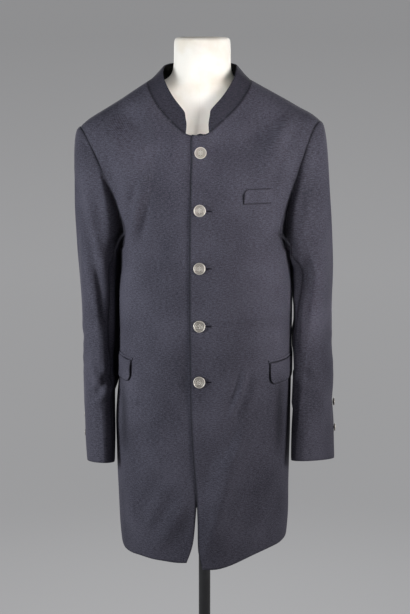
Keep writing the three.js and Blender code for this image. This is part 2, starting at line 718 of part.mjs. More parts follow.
// A strip that lies on a panel: rows of angle and height, moved out from the cloth.
function laidOn(side, rows, thick) {
  const placed = rows.map((row) =>
    row.map(({ angle, z }) => clothPoint(side, angle, z, CLEAR + thick)));
  return new Sheet().grid(placed).wall(thick);
}

function weltRows() {
  const across = [0, 0.02, 0.07, 0.13, 0.21, 0.4, 0.6, 0.8, 1];
  return [0, 0.5, 1].map((v) =>
    across.map((u) => {
      const x = lerp(WELT.x0, WELT.x1, u);
      const drop = cornerDrop(x - WELT.x0, WELT.corner);
      const z = WELT.z + (WELT.height - drop) * v;
      return { angle: frontAngle(x - column(BODY, "z", "shift", z), z), z };
    }),
  );
}

function flapRows(side) {
  const start = FLAP.start[sideName(side)];
  const across = [0, 0.01, 0.03, 0.065, 0.12, 0.2, ...steps(8).slice(1).map((t) => lerp(0.2, 1, t))];
  return [0, 0.4, 1].map((v) =>
    across.map((u) => {
      const angle = lerp(start, FLAP.end, u);
      const drop = cornerDrop((angle - start) * MM_PER_DEGREE, FLAP.corner);
      return { angle, z: lerp(FLAP.top - FLAP.height + drop, FLAP.top, v) };
    }),
  );
}

const jetRows = (side) =>
  [SEAM_GAP, JET.height].map((rise) =>
    steps(12).map((u) => ({
      angle: lerp(FLAP.start[sideName(side)] - 1.2, FLAP.end + 1, u),
      z: FLAP.top + rise,
    })));

// ---------------------------------------------------------------- buttons

function coin({ radius, thick, shank, shankRadius, rim, dish }, segments) {
  const top = shank + thick;
  const outline = [
    [0, 0],
    [shankRadius, 0],
    [shankRadius, shank],
    [radius - 0.6, shank],
    [radius, shank + 0.6],
    [radius, top - 0.6],
    [radius - 0.5, top],
    [radius - rim, top],
    [radius - rim - 0.5, top - dish],
    [0, top - dish],
  ];
  const profile = outline.map(([r, h]) => new THREE.Vector2(r, h));
  return new THREE.LatheGeometry(profile, segments).rotateX(Math.PI / 2);
}

function seat(mesh, point, gap) {
  mesh.position.copy(point.p).addScaledVector(point.n, gap);
  mesh.quaternion.setFromUnitVectors(new THREE.Vector3(0, 0, 1), point.n);
}

// ---------------------------------------------------------------- the coat

const collarLine = {};
for (const side of [1, -1]) {
  const name = sideName(side);
  const lines = outlines(side);
  const frontTop = [lines.frontInner, lines.frontHole, lines.frontUnder, lines.shoulder];
  const frontSheet = bodyPanel(side, ...frontTop, (z) => edgeAngle(side, z), true);
  add(coat, "front_" + name, frontSheet.wall(), WOOL);
  const backTop = [lines.backInner, lines.backHole, lines.backUnder, lines.shoulder];
  add(coat, "back_" + name, bodyPanel(side, ...backTop, () => 90, false).wall(), WOOL);

  const onCloth = ({ angle, z }) => clothPoint(side, angle, z);
  collarLine[name] = [...lines.collarFront, ...[...lines.collarBack].reverse().slice(1)]
    .map((at) => onCloth(at).p);

  // armhole from the tip by the front, under the arm and up the back
  const frontDown = [...lines.frontHole].reverse();
  const under = [...lines.frontUnder.slice(1), ...[...lines.backUnder].reverse().slice(1)];
  const loop = [...frontDown, ...under, ...lines.backHole.slice(1, -1)];
  const hole = loop.map(onCloth);
  const reach = [0];
  hole.forEach(({ p }, i) => i && reach.push(reach[i - 1] + p.distanceTo(hole[i - 1].p)));
  const lowest = hole.reduce((best, { p }, i) => (p.z < hole[best].p.z ? i : best), 0);
  const whole = reach.at(-1) + hole.at(-1).p.distanceTo(hole[0].p);
  hole.forEach((point, i) => {
    const share = (reach[i] - reach[lowest]) / (whole - reach[lowest]);
    point.round = i <= lowest
      ? 180 * (reach[i] / reach[lowest]) ** ROUND_EASE
      : 360 - 180 * (1 - share) ** ROUND_EASE;
  });
  const frontSeam = hole.findIndex(({ round }) => round >= 124);
  const backSeam = hole.findIndex(({ round }) => round >= 278);
  const { upper, under: underSleeve } = sleeveSheets(side, hole, frontSeam, backSeam);
  add(coat, "upper_sleeve_" + name, upper.wall(), WOOL);
  add(coat, "under_sleeve_" + name, underSleeve.wall(), WOOL);

  CUFF_BUTTONS[name].forEach((z, i) => {
    const button = add(coat, "cuff_button_" + name + "_" + (i + 1), coin(CUFF_BUTTON, 14), PEWTER);
    const angle = CUFF_BUTTON_ANGLE[name];
    const p = sleevePoint(side, z, angle);
    const round = sleevePoint(side, z, angle + 4).sub(sleevePoint(side, z, angle - 4));
    const up = sleevePoint(side, z + 8, angle).sub(sleevePoint(side, z - 8, angle));
    const n = up.cross(round).multiplyScalar(side).normalize();
    seat(button, { p, n }, SEAM_GAP);
  });

  add(coat, "hip_flap_" + name, laidOn(side, flapRows(side), FLAP.thick), WOOL);
  add(coat, "hip_jet_" + name, laidOn(side, jetRows(side), JET.thick), WOOL);
}
const collarBase = [...collarLine.left, ...[...collarLine.right].reverse().slice(1)];
add(coat, "collar", collarSheet(collarBase).wall(COLLAR_CLOTH), COLLAR_WOOL);
add(coat, "breast_welt", laidOn(1, weltRows(), WELT.thick), WOOL);

BUTTON_HEIGHTS.forEach((z, i) => {
  const button = add(coat, "front_button_" + (i + 1), coin(BUTTON, 20), PEWTER);
  const angle = frontAngle(-column(BODY, "z", "shift", z), z);
  seat(button, clothPoint(1, angle, z), BUTTON_SEAT);
});

// ---------------------------------------------------------------- the stand

const formRings = FORM.map(({ z, halfWidth }) =>
  Array.from({ length: FORM_SEGMENTS }, (_, i) => {
    const turn = (i * 360) / FORM_SEGMENTS;
    const side = Math.cos(turn * RAD) >= 0 ? 1 : -1;
    const angle = Math.asin(Math.sin(turn * RAD)) / RAD;
    const squareness = lerp(2, SQUARENESS, smooth((halfWidth - 60) / 60));
    const p = ring(FORM, side, angle, z, squareness);
    return p.setX(p.x + NECK_SHIFT * smooth((z - 1470) / 40));
  }),
);
add(stand, "dress_form", loft(formRings), LINEN);

const formBottom = FORM[0].z;
const poleLength = formBottom - SEAM_GAP - BASE.socket - SEAM_GAP;
const tube = new THREE.CylinderGeometry(POLE_RADIUS, POLE_RADIUS, poleLength, 32);
const pole = add(stand, "pole", tube, BLACK_PAINT);
pole.rotation.x = Math.PI / 2;
pole.position.z = BASE.socket + SEAM_GAP + poleLength / 2;

const baseOutline = [
  [0, 0],
  [BASE.radius - BASE.bevel, 0],
  [BASE.radius, BASE.bevel],
  [BASE.radius, BASE.thick - BASE.bevel],
  [BASE.radius - BASE.bevel, BASE.thick],
  [BASE.hubRadius + 14, BASE.thick + 2],
  [BASE.hubRadius + 2, BASE.thick + 12],
  [BASE.hubRadius - 6, BASE.hubTop - 3],
  [BASE.hubRadius - 9, BASE.hubTop],
  [POLE_RADIUS + SEAM_GAP, BASE.hubTop],
  [POLE_RADIUS + SEAM_GAP, BASE.socket],
  [0, BASE.socket],
].map(([r, h]) => new THREE.Vector2(r, h));
add(stand, "base", new THREE.LatheGeometry(baseOutline, 40).rotateX(Math.PI / 2), BLACK_PAINT);

const model = new THREE.Group();
model.add(coat, stand);
export default model;
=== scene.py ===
"""A long trachten coat on a limbless dress form with a round-base stand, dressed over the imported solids.

Lengths are metres unless a name or a docstring says millimetres. +Z is up, the coat's front faces -Y
and +X is the wearer's left.
"""

from __future__ import annotations

import logging
import math
from dataclasses import dataclass, field
from enum import Enum

import bmesh
import bpy
import numpy as np
from mathutils import Matrix, Vector
from mathutils.bvhtree import BVHTree
from mathutils.kdtree import KDTree

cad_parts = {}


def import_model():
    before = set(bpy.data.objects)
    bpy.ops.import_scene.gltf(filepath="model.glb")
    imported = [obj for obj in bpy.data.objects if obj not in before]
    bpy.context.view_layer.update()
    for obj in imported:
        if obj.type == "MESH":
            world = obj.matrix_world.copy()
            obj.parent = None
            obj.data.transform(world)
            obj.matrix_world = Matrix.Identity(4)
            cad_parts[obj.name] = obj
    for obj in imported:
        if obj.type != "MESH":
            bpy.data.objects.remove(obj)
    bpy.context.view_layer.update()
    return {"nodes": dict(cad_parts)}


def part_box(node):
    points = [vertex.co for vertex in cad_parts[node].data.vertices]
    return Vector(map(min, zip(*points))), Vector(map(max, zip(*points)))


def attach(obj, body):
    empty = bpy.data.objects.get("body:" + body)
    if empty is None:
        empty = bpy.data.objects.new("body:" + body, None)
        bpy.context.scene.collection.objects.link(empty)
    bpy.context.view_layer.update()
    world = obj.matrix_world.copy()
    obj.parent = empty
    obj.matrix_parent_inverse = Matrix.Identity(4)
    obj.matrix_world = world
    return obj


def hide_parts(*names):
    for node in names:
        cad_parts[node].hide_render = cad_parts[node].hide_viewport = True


LOG = logging.getLogger("trachten_coat")
MM = 0.001
BODY = "root"
SAME_POINT = 5e-6  # a solid's points nearer than this are one
WALL_SLACK = 2.5e-5  # how far a wall's edge may be off its thickness
FAR = 0.4  # outside the part, where rays start

Place = tuple[float, float, float]
Path = tuple[tuple[float, float], ...]
Socket = bpy.types.NodeSocket


class Facing(Enum):
    """Which side of the garment a crease is drawn on, as (axis seen flat, axis looked along, its sign)."""

    FRONT = (0, 1, -1)
    BACK = (0, 1, 1)
    LEFT = (1, 0, 1)
    RIGHT = (1, 0, -1)


# ------------------------------------------------------------------ materials


def linear(code: str) -> tuple[float, float, float, float]:
    """Turn an sRGB hex colour into linear RGBA.

    Args:
        code: a colour such as "#4c4a58".

    Returns:
        The linear red, green, blue and an alpha of 1.
    """
    parts = [int(code[i : i + 2], 16) / 255 for i in (1, 3, 5)]
    return (*(c / 12.92 if c <= 0.04045 else ((c + 0.055) / 1.055) ** 2.4 for c in parts), 1.0)


class Nodes:
    """The node tree of a new material. Its methods add a node and return an output socket."""

    def __init__(self, name: str) -> None:
        """Start an empty material.

        Args:
            name: the material's name.
        """
        self.material = bpy.data.materials.new(name)
        self.material.use_nodes = True
        self.tree = self.material.node_tree
        self.tree.nodes.clear()

    def add(self, kind: str, inputs: dict | None = None, output: str | int = 0, **settings: object) -> Socket:
        """Add a shader node with its settings, values and links.

        Args:
            kind: the node's type name after "ShaderNode".
            inputs: by socket name or number, a value or the output socket that feeds it.
            output: name or number of the socket to return.
            settings: attributes of the node.

        Returns:
            The output socket.
        """
        node = self.tree.nodes.new("ShaderNode" + kind)
        for name, value in settings.items():
            setattr(node, name, value)
        for key, value in (inputs or {}).items():
            if isinstance(value, Socket):
                self.tree.links.new(value, node.inputs[key])
            else:
                node.inputs[key].default_value = value
        return node.outputs[output]

    def here(self) -> Socket:
        """Return object coordinates."""
        return self.add("TexCoord", output="Object")

    def noise(self, place: Socket, size: float, detail: float, roughness: float = 0.5) -> Socket:
        """Return noise with grains of a size in metres."""
        inputs = {"Vector": place, "Scale": 1 / size, "Detail": detail, "Roughness": roughness}
        return self.add("TexNoise", inputs, "Fac")

    def waves(self, place: Socket, spacing: float, distortion: float, direction: str) -> Socket:
        """Return parallel bands with a spacing in metres."""
        radians = 10 * math.sqrt(2) if direction == "DIAGONAL" else 20
        inputs = {"Vector": place, "Scale": 2 * math.pi / (radians * spacing), "Distortion": distortion}
        return self.add("TexWave", inputs, "Fac", bands_direction=direction)

    def scaled(self, value: Socket, factor: float, plus: Socket | float) -> Socket:
        """Return a value times a factor, plus another value."""
        return self.add("Math", {0: value, 1: factor, 2: plus}, operation="MULTIPLY_ADD")

    def spread(self, value: Socket, low: float, high: float) -> Socket:
        """Return a value's range from low to high stretched to 0 to 1."""
        return self.add("MapRange", {"Value": value, "From Min": low, "From Max": high}, "Result")

    def blend(self, share: Socket, first: Socket | str, second: str) -> Socket:
        """Return a mix of two colours, each a socket or a hex code."""
        first = linear(first) if isinstance(first, str) else first
        return self.add("Mix", {0: share, 6: first, 7: linear(second)}, 2, data_type="RGBA")

    def bump(self, height: Socket, strength: float, depth: float) -> Socket:
        """Return a normal that shows a height, with the depth in millimetres."""
        return self.add("Bump", {"Height": height, "Strength": strength, "Distance": depth * MM}, "Normal")

    def finish(self, inputs: dict) -> bpy.types.Material:
        """Close the tree with a principled shader.

        Args:
            inputs: the shader's values and links.

        Returns:
            The finished material.
        """
        end = self.tree.nodes.new("ShaderNodeOutputMaterial")
        self.tree.links.new(self.add("BsdfPrincipled", inputs), end.inputs["Surface"])
        return self.material


@dataclass(frozen=True)
class WovenCloth:
    """Worsted wool twill: piece-dyed yarns of two close tones, so it looks finely flecked, with a soft nap.

    Attributes:
        name: the material's name.
        dark: colour of the darker yarns.
        light: colour of the lighter yarns.
        rib: spacing of the twill ribs in millimetres. The real 0.5 mm is drawn about three times as
            coarse, so that it shows.
        fleck: size of the flecks in millimetres.
        slub: length and thickness of the weft's thicker stretches in millimetres.
        patch: size of the faint lighter patches in millimetres.
        nap: sheen weight of the brushed surface.
        nap_colour: colour of that sheen.
        roughness: of the yarns.
        painted_shade_strength: how much darker the cloth is drawn by the painted shade in the seam
            attribute: at pressed seams, along crease valleys and along free edges that stand off.
        painted_shade_colour: what that painted shade darkens to.
    """

    name: str
    dark: str
    light: str
    rib: float = 1.5
    fleck: float = 2.2
    slub: tuple[float, float] = (7.0, 1.6)
    patch: float = 110.0
    nap: float = 0.03
    nap_colour: str = "#8f93ad"
    roughness: float = 0.86
    painted_shade_strength: float = 0.55
    painted_shade_colour: str = "#0c0c0f"

    def make(self) -> bpy.types.Material:
        """Build the material on the piece's own "cloth" UV map, which is in metres."""
        nodes = Nodes(self.name)
        place = nodes.add("UVMap", output="UV", uv_map="cloth")
        fleck = nodes.noise(place, self.fleck * MM, 3.0, 0.65)
        weft_scale = (*(1 / (size * MM) for size in self.slub), 1)
        weft = nodes.noise(nodes.add("Mapping", {"Vector": place, "Scale": weft_scale}, "Vector"), 1.0, 1.0)
        rib = nodes.waves(place, self.rib * MM, 0.6, "DIAGONAL")
        patch = nodes.noise(place, self.patch * MM, 2.0)
        grain = nodes.scaled(nodes.scaled(weft, 0.6, fleck), 0.7, -0.06)
        tone = nodes.scaled(patch, 0.3, nodes.scaled(rib, 0.12, grain))
        colour = nodes.blend(nodes.spread(tone, 0.55, 0.87), self.dark, self.light)
        # the seam attribute is painted shade: at pressed seams, along crease valleys and along free edges
        # that stand off
        seam = nodes.add("Attribute", output="Fac", attribute_name="seam")
        shade = nodes.add("Math", {0: seam, 1: self.painted_shade_strength}, operation="MULTIPLY", use_clamp=True)
        return nodes.finish({
            "Base Color": nodes.blend(shade, colour, self.painted_shade_colour),
            "Roughness": self.roughness,
            "Specular IOR Level": 0.1,
            "Sheen Weight": self.nap,
            "Sheen Roughness": 0.45,
            "Sheen Tint": linear(self.nap_colour),
            "Normal": nodes.bump(nodes.scaled(rib, 0.5, grain), 0.35, 0.25),
        })


@dataclass(frozen=True)
class CastPewter:
    """Cast and tumbled pewter: a soft grey shine on what stands proud and dull dark hollows.

    Attributes:
        proud: colour of what stands out.
        hollow: colour of the hollows.
        pit: size of the casting's pits in millimetres.
        roughness: of the metal.
    """

    proud: str = "#cfc8bf"
    hollow: str = "#8f8981"
    pit: float = 0.8
    roughness: float = 0.5

    def make(self) -> bpy.types.Material:
        """Build the material, which reads the "relief" attribute: 0 in the hollows, 1 on top."""
        nodes = Nodes("cast pewter")
        pits = nodes.noise(nodes.here(), self.pit * MM, 3.0)
        relief = nodes.add("Attribute", output="Fac", attribute_name="relief")
        worn = nodes.spread(nodes.scaled(pits, 0.35, relief), 0.2, 1.1)
        return nodes.finish({
            "Base Color": nodes.blend(worn, self.hollow, self.proud),
            "Metallic": 0.75,
            "Roughness": self.roughness,
            "Normal": nodes.bump(pits, 0.3, 0.15),
        })


@dataclass(frozen=True)
class StretchedJersey:
    """Ivory cotton jersey pulled tight over the form: a close fine knit, slightly yellowed in patches.

    Attributes:
        clean: colour of most of it.
        aged: colour of the yellowed patches.
        patch: size of those in millimetres.
        stitch: of the knit in millimetres; the real 0.6 mm is drawn twice as coarse.
    """

    clean: str = "#ebe6de"
    aged: str = "#ddd2c0"
    patch: float = 50.0
    stitch: float = 1.2

    def make(self) -> bpy.types.Material:
        """Build the material on object coordinates."""
        nodes = Nodes("ivory jersey")
        place = nodes.here()
        patches = nodes.spread(nodes.noise(place, self.patch * MM, 3.0), 0.45, 0.8)
        knit = nodes.waves(place, self.stitch * MM, 1.5, "Z")
        return nodes.finish({
            "Base Color": nodes.blend(patches, self.clean, self.aged),
            "Roughness": 0.82,
            "Specular IOR Level": 0.25,
            "Sheen Weight": 0.15,
            "Normal": nodes.bump(knit, 0.25, 0.2),
        })


@dataclass(frozen=True)
class PowderCoat:
    """Black powder coat baked on steel: satin, with a faint orange-peel texture.

    Attributes:
        colour: of most of it.
        rubbed: colour where hands have rubbed it.
        rub: size of the rubbed patches in millimetres.
        peel: size of the texture's bumps in millimetres.
        roughness: of the surface.
    """

    colour: str = "#1a1a1c"
    rubbed: str = "#252528"
    rub: float = 40.0
    peel: float = 1.5
    roughness: float = 0.42

    def make(self) -> bpy.types.Material:
        """Build the material on object coordinates."""
        nodes = Nodes("black powder coat")
        place = nodes.here()
        rub = nodes.spread(nodes.noise(place, self.rub * MM, 4.0), 0.45, 0.75)
        return nodes.finish({
            "Base Color": nodes.blend(rub, self.colour, self.rubbed),
            "Roughness": self.roughness,
            "Normal": nodes.bump(nodes.noise(place, self.peel * MM, 2.0), 0.2, 0.1),
        })


@dataclass(frozen=True)
class Backdrop:
    """Matt grey studio paper with a painted glow that stands in for its lighting, fading a little towards its
    top.

    Attributes:
        colour: of the paper.
        light: colour of the glow.
        low_glow: radiance of the floor.
        high_glow: radiance where the glow has faded.
        fade_height: where that is.
    """

    colour: str = "#777778"
    light: str = "#fdfdff"
    low_glow: float = 0.31
    high_glow: float = 0.24
    fade_height: float = 1.5

    def make(self) -> bpy.types.Material:
        """Build the material on object coordinates."""
        nodes = Nodes("studio paper")
        height = nodes.add("SeparateXYZ", {0: nodes.here()}, "Z")
        span = {"From Max": self.fade_height, "To Min": self.low_glow, "To Max": self.high_glow}
        return nodes.finish({
            "Base Color": linear(self.colour),
            "Roughness": 0.95,
            "Specular IOR Level": 0.0,
            "Emission Color": linear(self.light),
            "Emission Strength": nodes.add("MapRange", {"Value": height, **span}, "Result"),
        })


# ------------------------------------------------------------------ mesh helpers


def coordinates(mesh: bpy.types.Mesh, what: str = "co") -> np.ndarray:
    """Return a mesh's points, or their normals, as an array of rows x, y, z."""
    flat = np.empty(len(mesh.vertices) * 3)
    mesh.vertices.foreach_get(what, flat)
    return flat.reshape(-1, 3)


def set_coordinates(mesh: bpy.types.Mesh, points: np.ndarray) -> None:
    """Write rows x, y, z back to a mesh."""
    mesh.vertices.foreach_set("co", points.ravel())
    mesh.update()


def rim_points(mesh: bpy.types.Mesh) -> list[int]:
    """Return the numbers of the points on a sheet's free border."""
    uses = np.zeros(len(mesh.edges), dtype=int)
    loops = np.empty(len(mesh.loops), dtype=int)
    mesh.loops.foreach_get("edge_index", loops)
    np.add.at(uses, loops, 1)
    ends = np.empty(len(mesh.edges) * 2, dtype=int)
    mesh.edges.foreach_get("vertices", ends)
    return sorted(set(ends.reshape(-1, 2)[uses == 1].ravel().tolist()))


def rim_edges(mesh: bpy.types.Mesh) -> np.ndarray:
    """Return the free border's edges as rows of two point numbers."""
    rim = set(rim_points(mesh))
    return np.array([e.vertices[:] for e in mesh.edges if e.vertices[0] in rim and e.vertices[1] in rim])


def link(name: str, data: bpy.types.ID) -> bpy.types.Object:
    """Put a mesh, a lamp or the like in the scene as an object at the origin."""
    obj = bpy.data.objects.new(name, data)
    bpy.context.scene.collection.objects.link(obj)
    return obj


def finish_bmesh(bm: bmesh.types.BMesh, name: str) -> bpy.types.Object:
    """Turn a bmesh into a smoothly shaded object at the origin and free it.

    Args:
        bm: the bmesh.
        name: of the mesh and the object.

    Returns:
        The object.
    """
    mesh = bpy.data.meshes.new(name)
    bm.to_mesh(mesh)
    bm.free()
    mesh.polygons.foreach_set("use_smooth", [True] * len(mesh.polygons))
    return link(name, mesh)


def solid_bmesh(node: bpy.types.Object) -> bmesh.types.BMesh:
    """Return a bmesh of a solid with its points joined."""
    bm = bmesh.new()
    bm.from_mesh(node.data)
    bmesh.ops.remove_doubles(bm, verts=bm.verts, dist=SAME_POINT)
    return bm


def join_quads(bm: bmesh.types.BMesh) -> None:
    """Join pairs of triangles into four-sided faces."""
    bmesh.ops.join_triangles(
        bm, faces=bm.faces[:], angle_face_threshold=math.pi, angle_shape_threshold=math.pi)


def spin(
    outline: list[tuple[float, float]], steps: int, merge: float, solid: bool = True
) -> bmesh.types.BMesh:
    """Turn an outline round the upright axis.

    Args:
        outline: rows of radius and height.
        steps: round the turn.
        merge: points nearer than this become one.
        solid: whether it is a closed body, whose faces are turned outwards.

    Returns:
        A bmesh in the outline's unit.
    """
    bm = bmesh.new()
    row = [bm.verts.new((r, 0, h)) for r, h in outline]
    edges = [bm.edges.new(pair) for pair in zip(row, row[1:])]
    bmesh.ops.spin(
        bm, geom=row + edges, cent=(0, 0, 0), axis=(0, 0, 1), angle=2 * math.pi, steps=steps, use_merge=True)
    bmesh.ops.remove_doubles(bm, verts=bm.verts, dist=merge)
    if solid:
        bmesh.ops.recalc_face_normals(bm, faces=bm.faces)
    return bm


def evaluated(obj: bpy.types.Object) -> bpy.types.Object:
    """Return an object with its modifiers at work."""
    return obj.evaluated_get(bpy.context.evaluated_depsgraph_get())


def surface(obj: bpy.types.Object) -> BVHTree:
    """Return an object's faces for casting rays at."""
    return BVHTree.FromObject(obj, bpy.context.evaluated_depsgraph_get())


def make_dense(obj: bpy.types.Object, levels: int, fit: int = 0) -> bpy.types.Mesh:
    """Swap an object's mesh for its subdivided one.

    Args:
        obj: the object.
        levels: of subdivision.
        fit: rounds of drawing the smooth sheet back through the coarse mesh's own points. With any, its
            corners stay sharp too.

    Returns:
        The dense mesh.
    """
    smoother = obj.modifiers.new("smooth", "SUBSURF")
    smoother.levels = smoother.render_levels = levels
    smoother.boundary_smooth = "PRESERVE_CORNERS" if fit else "ALL"
    aim = coordinates(obj.data)
    now = aim.copy()
    for _ in range(fit):
        now += aim - coordinates(evaluated(obj).data)[: len(aim)]
        set_coordinates(obj.data, now)
        obj.data.update_tag()
        bpy.context.view_layer.update()
    dense = bpy.data.meshes.new_from_object(evaluated(obj))
    obj.modifiers.clear()
    obj.data = dense
    return dense


def add_attribute(mesh: bpy.types.Mesh, name: str, values: np.ndarray) -> None:
    """Store one number a point on a mesh, for its material."""
    layer = mesh.attributes.new(name, "FLOAT", "POINT")
    layer.data.foreach_set("value", values.astype(np.float32))


def tree_of(points: np.ndarray) -> KDTree:
    """Return a tree that finds the nearest of some points."""
    tree = KDTree(len(points))
    for i, point in enumerate(points):
        tree.insert(point, i)
    tree.balance()
    return tree


def near(points: np.ndarray, marks: np.ndarray) -> np.ndarray:
    """Return each point's distance to the nearest of the marks, or 1 where there are none."""
    if not len(marks):
        return np.ones(len(points))
    tree = tree_of(marks)
    return np.array([tree.find(p)[2] for p in points])


def bell(distance: np.ndarray, width: float) -> np.ndarray:
    """Return 1 at no distance, falling off smoothly over a width."""
    return np.exp(-((distance / width) ** 2))


def hand_over(obj: bpy.types.Object, slot: str, *materials: bpy.types.Material, node: str = "") -> None:
    """Give a piece its materials, hang it on the body and hide the solid that it stands for.

    Args:
        obj: the piece, which is shaded smooth.
        slot: the record's material slot; not used.
        materials: by the numbers that its faces have.
        node: the solid that it stands for, or nothing.
    """
    mesh = obj.data
    mesh.materials.clear()
    for material in materials:
        mesh.materials.append(material)
    mesh.polygons.foreach_set("use_smooth", [True] * len(mesh.polygons))
    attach(obj, BODY)
    if node:
        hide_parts(node)
    LOG.info("%s: %d points", obj.name, len(mesh.vertices))


# ------------------------------------------------------------------ creases


@dataclass(frozen=True)
class Crease:
    """A soft fold drawn on one side of the hanging cloth.

    Attributes:
        path: places along it, as (x or y, height) in millimetres.
        depth: how far it stands out at its middle in millimetres; a trough is negative.
        width: half-width in millimetres.
        shoulder: share of the depth by which the cloth beside it goes the other way.
        facing: the side of the garment it is on.
        straight: whether it goes straight in or out, as a valley between two pieces does.
        painted_crease_shade: how much painted shade the cloth gets along its middle, where it is folded in on
            itself.
        from_rim: distance in millimetres from the piece's edge over which it comes in.
        stretches: between two places of its path.
        reach: half-widths from its line at which it has died out.
        turn_in: depth in millimetres behind the garment's middle over which a straight one comes in.
        wrap: how far past edge-on the cloth still takes part, and the turn over which it comes in.
        tip: share of the taper's curve that is left out at each end.
        swell: sharpness of that curve; below 1 the crease keeps its depth for longer.
        beside: how far off its line the cloth goes the other way, and how widely, in half-widths.
    """

    path: Path
    depth: float
    width: float
    shoulder: float = 0.25
    facing: Facing = Facing.FRONT
    straight: bool = False
    painted_crease_shade: float = 0.0
    from_rim: float = 0.0
    stretches: int = 6
    reach: float = 3.2
    turn_in: float = 30.0
    wrap: tuple[float, float] = (0.05, 0.4)
    tip: float = 0.03
    swell: float = 0.8
    beside: tuple[float, float] = (1.9, 0.9)

    def line(self) -> np.ndarray:
        """Return the path rounded into a smooth line of short stretches."""
        knots = np.array([self.path[0], *self.path, self.path[-1]], dtype=float)
        rows = []
        for a, b, c, d in zip(knots, knots[1:], knots[2:], knots[3:]):
            for t in np.linspace(0, 1, self.stretches, endpoint=False):
                square, cube = 2 * a - 5 * b + 4 * c - d, 3 * b - a - 3 * c + d
                rows.append(0.5 * (2 * b + (c - a) * t + square * t**2 + cube * t**3))
        return np.array([*rows, knots[-1]])

    def offsets(
        self, points: np.ndarray, directions: np.ndarray, to_rim: np.ndarray
    ) -> tuple[np.ndarray, np.ndarray]:
        """Work out how far this crease moves each point.

        Args:
            points: places in millimetres.
            directions: the cloth's outward normals there.
            to_rim: distances to the piece's edge in millimetres.

        Returns:
            How each point moves, in millimetres, and how much painted shade it gets.
        """
        flat_axis, look_axis, sign = self.facing.value
        moved, shade_painted = np.zeros(points.shape), np.zeros(len(points))
        line = self.line()
        reach = self.reach * self.width
        places = points[:, (flat_axis, 2)]
        if self.straight:
            directions = np.zeros(points.shape)
            directions[:, look_axis] = sign
            turned = np.clip(sign * points[:, look_axis] / self.turn_in, 0, 1)
        else:
            turned = np.clip((sign * directions[:, look_axis] + self.wrap[0]) / self.wrap[1], 0, 1)
        inside = np.all((places > line.min(0) - reach) & (places < line.max(0) + reach), axis=1)
        chosen = np.flatnonzero(inside & (turned > 0))
        if not len(chosen):
            return moved, shade_painted
        starts, runs = line[:-1], np.diff(line, axis=0)
        lengths = np.linalg.norm(runs, axis=1)
        before = np.concatenate([[0], np.cumsum(lengths)[:-1]])
        away = places[chosen][:, None, :] - starts
        share = np.clip((away * runs).sum(2) / np.maximum(lengths**2, 1e-9), 0, 1)
        gaps = np.linalg.norm(away - share[..., None] * runs, axis=2)
        best = gaps.argmin(axis=1)
        rows = np.arange(len(chosen))
        gap = gaps[rows, best]
        along = (before[best] + share[rows, best] * lengths[best]) / lengths.sum()
        taper = np.sin(np.pi * np.clip(along * (1 - 2 * self.tip) + self.tip, 0, 1)) ** self.swell
        middle = bell(gap, self.width)
        beside = bell(gap - self.beside[0] * self.width, self.beside[1] * self.width)
        out = self.depth * taper * (middle - self.shoulder * beside) * turned[chosen]
        if self.from_rim:
            out *= np.clip(to_rim[chosen] / self.from_rim, 0, 1)
        moved[chosen] = out[:, None] * directions[chosen]
        # painted shade along the crease's middle
        shade_painted[chosen] = self.painted_crease_shade * taper * middle * turned[chosen]
        return moved, shade_painted


def folds(facing: Facing, *rows: tuple) -> tuple[Crease, ...]:
    """Return creases of one side from rows of path, depth, width and, where it isn't usual, shoulder."""
    return tuple(Crease(*row, facing=facing) for row in rows)


def tuck(path: Path, depth: float, width: float, painted_crease_shade: float = 0.0, from_rim: float = 0.0,
         shoulder: float = 0.0) -> Crease:
    """Return a crease in front that goes straight in or out; the arguments are a crease's own."""
    return Crease(path, depth, width, shoulder, straight=True, painted_crease_shade=painted_crease_shade, from_rim=from_rim)


# A flap's lower front corner stands off the coat.
FLAP_LIFTS = folds(
    Facing.FRONT,
    (((-146, 960), (-144, 938), (-150, 918), (-160, 910)), 3.4, 9, 0.0),
    (((128, 960), (126, 936), (132, 914), (144, 906)), 3.4, 9, 0.0),
)

# Valleys where each sleeve folds against the chest; body and sleeve share them.
RIGHT_VALLEY = tuck(
    ((-182, 1345), (-171, 1300), (-163, 1258), (-158, 1215), (-158, 1165)), -11, 13, shoulder=0.12)
LEFT_VALLEY = tuck(
    ((187, 1372), (177, 1326), (167, 1280), (159, 1235), (157, 1178)), -11, 11, shoulder=0.12)

# Painted shade, over a barely sunken crease, where front, side and sleeve come together under each arm.
UNDERARM_SHADES = (
    tuck(((-176, 1174), (-166, 1190), (-158, 1199), (-148, 1207)), -0.6, 6, 1.5),
    tuck(((170, 1180), (160, 1191), (152, 1199), (143, 1206)), -0.6, 6, 1.5),
)

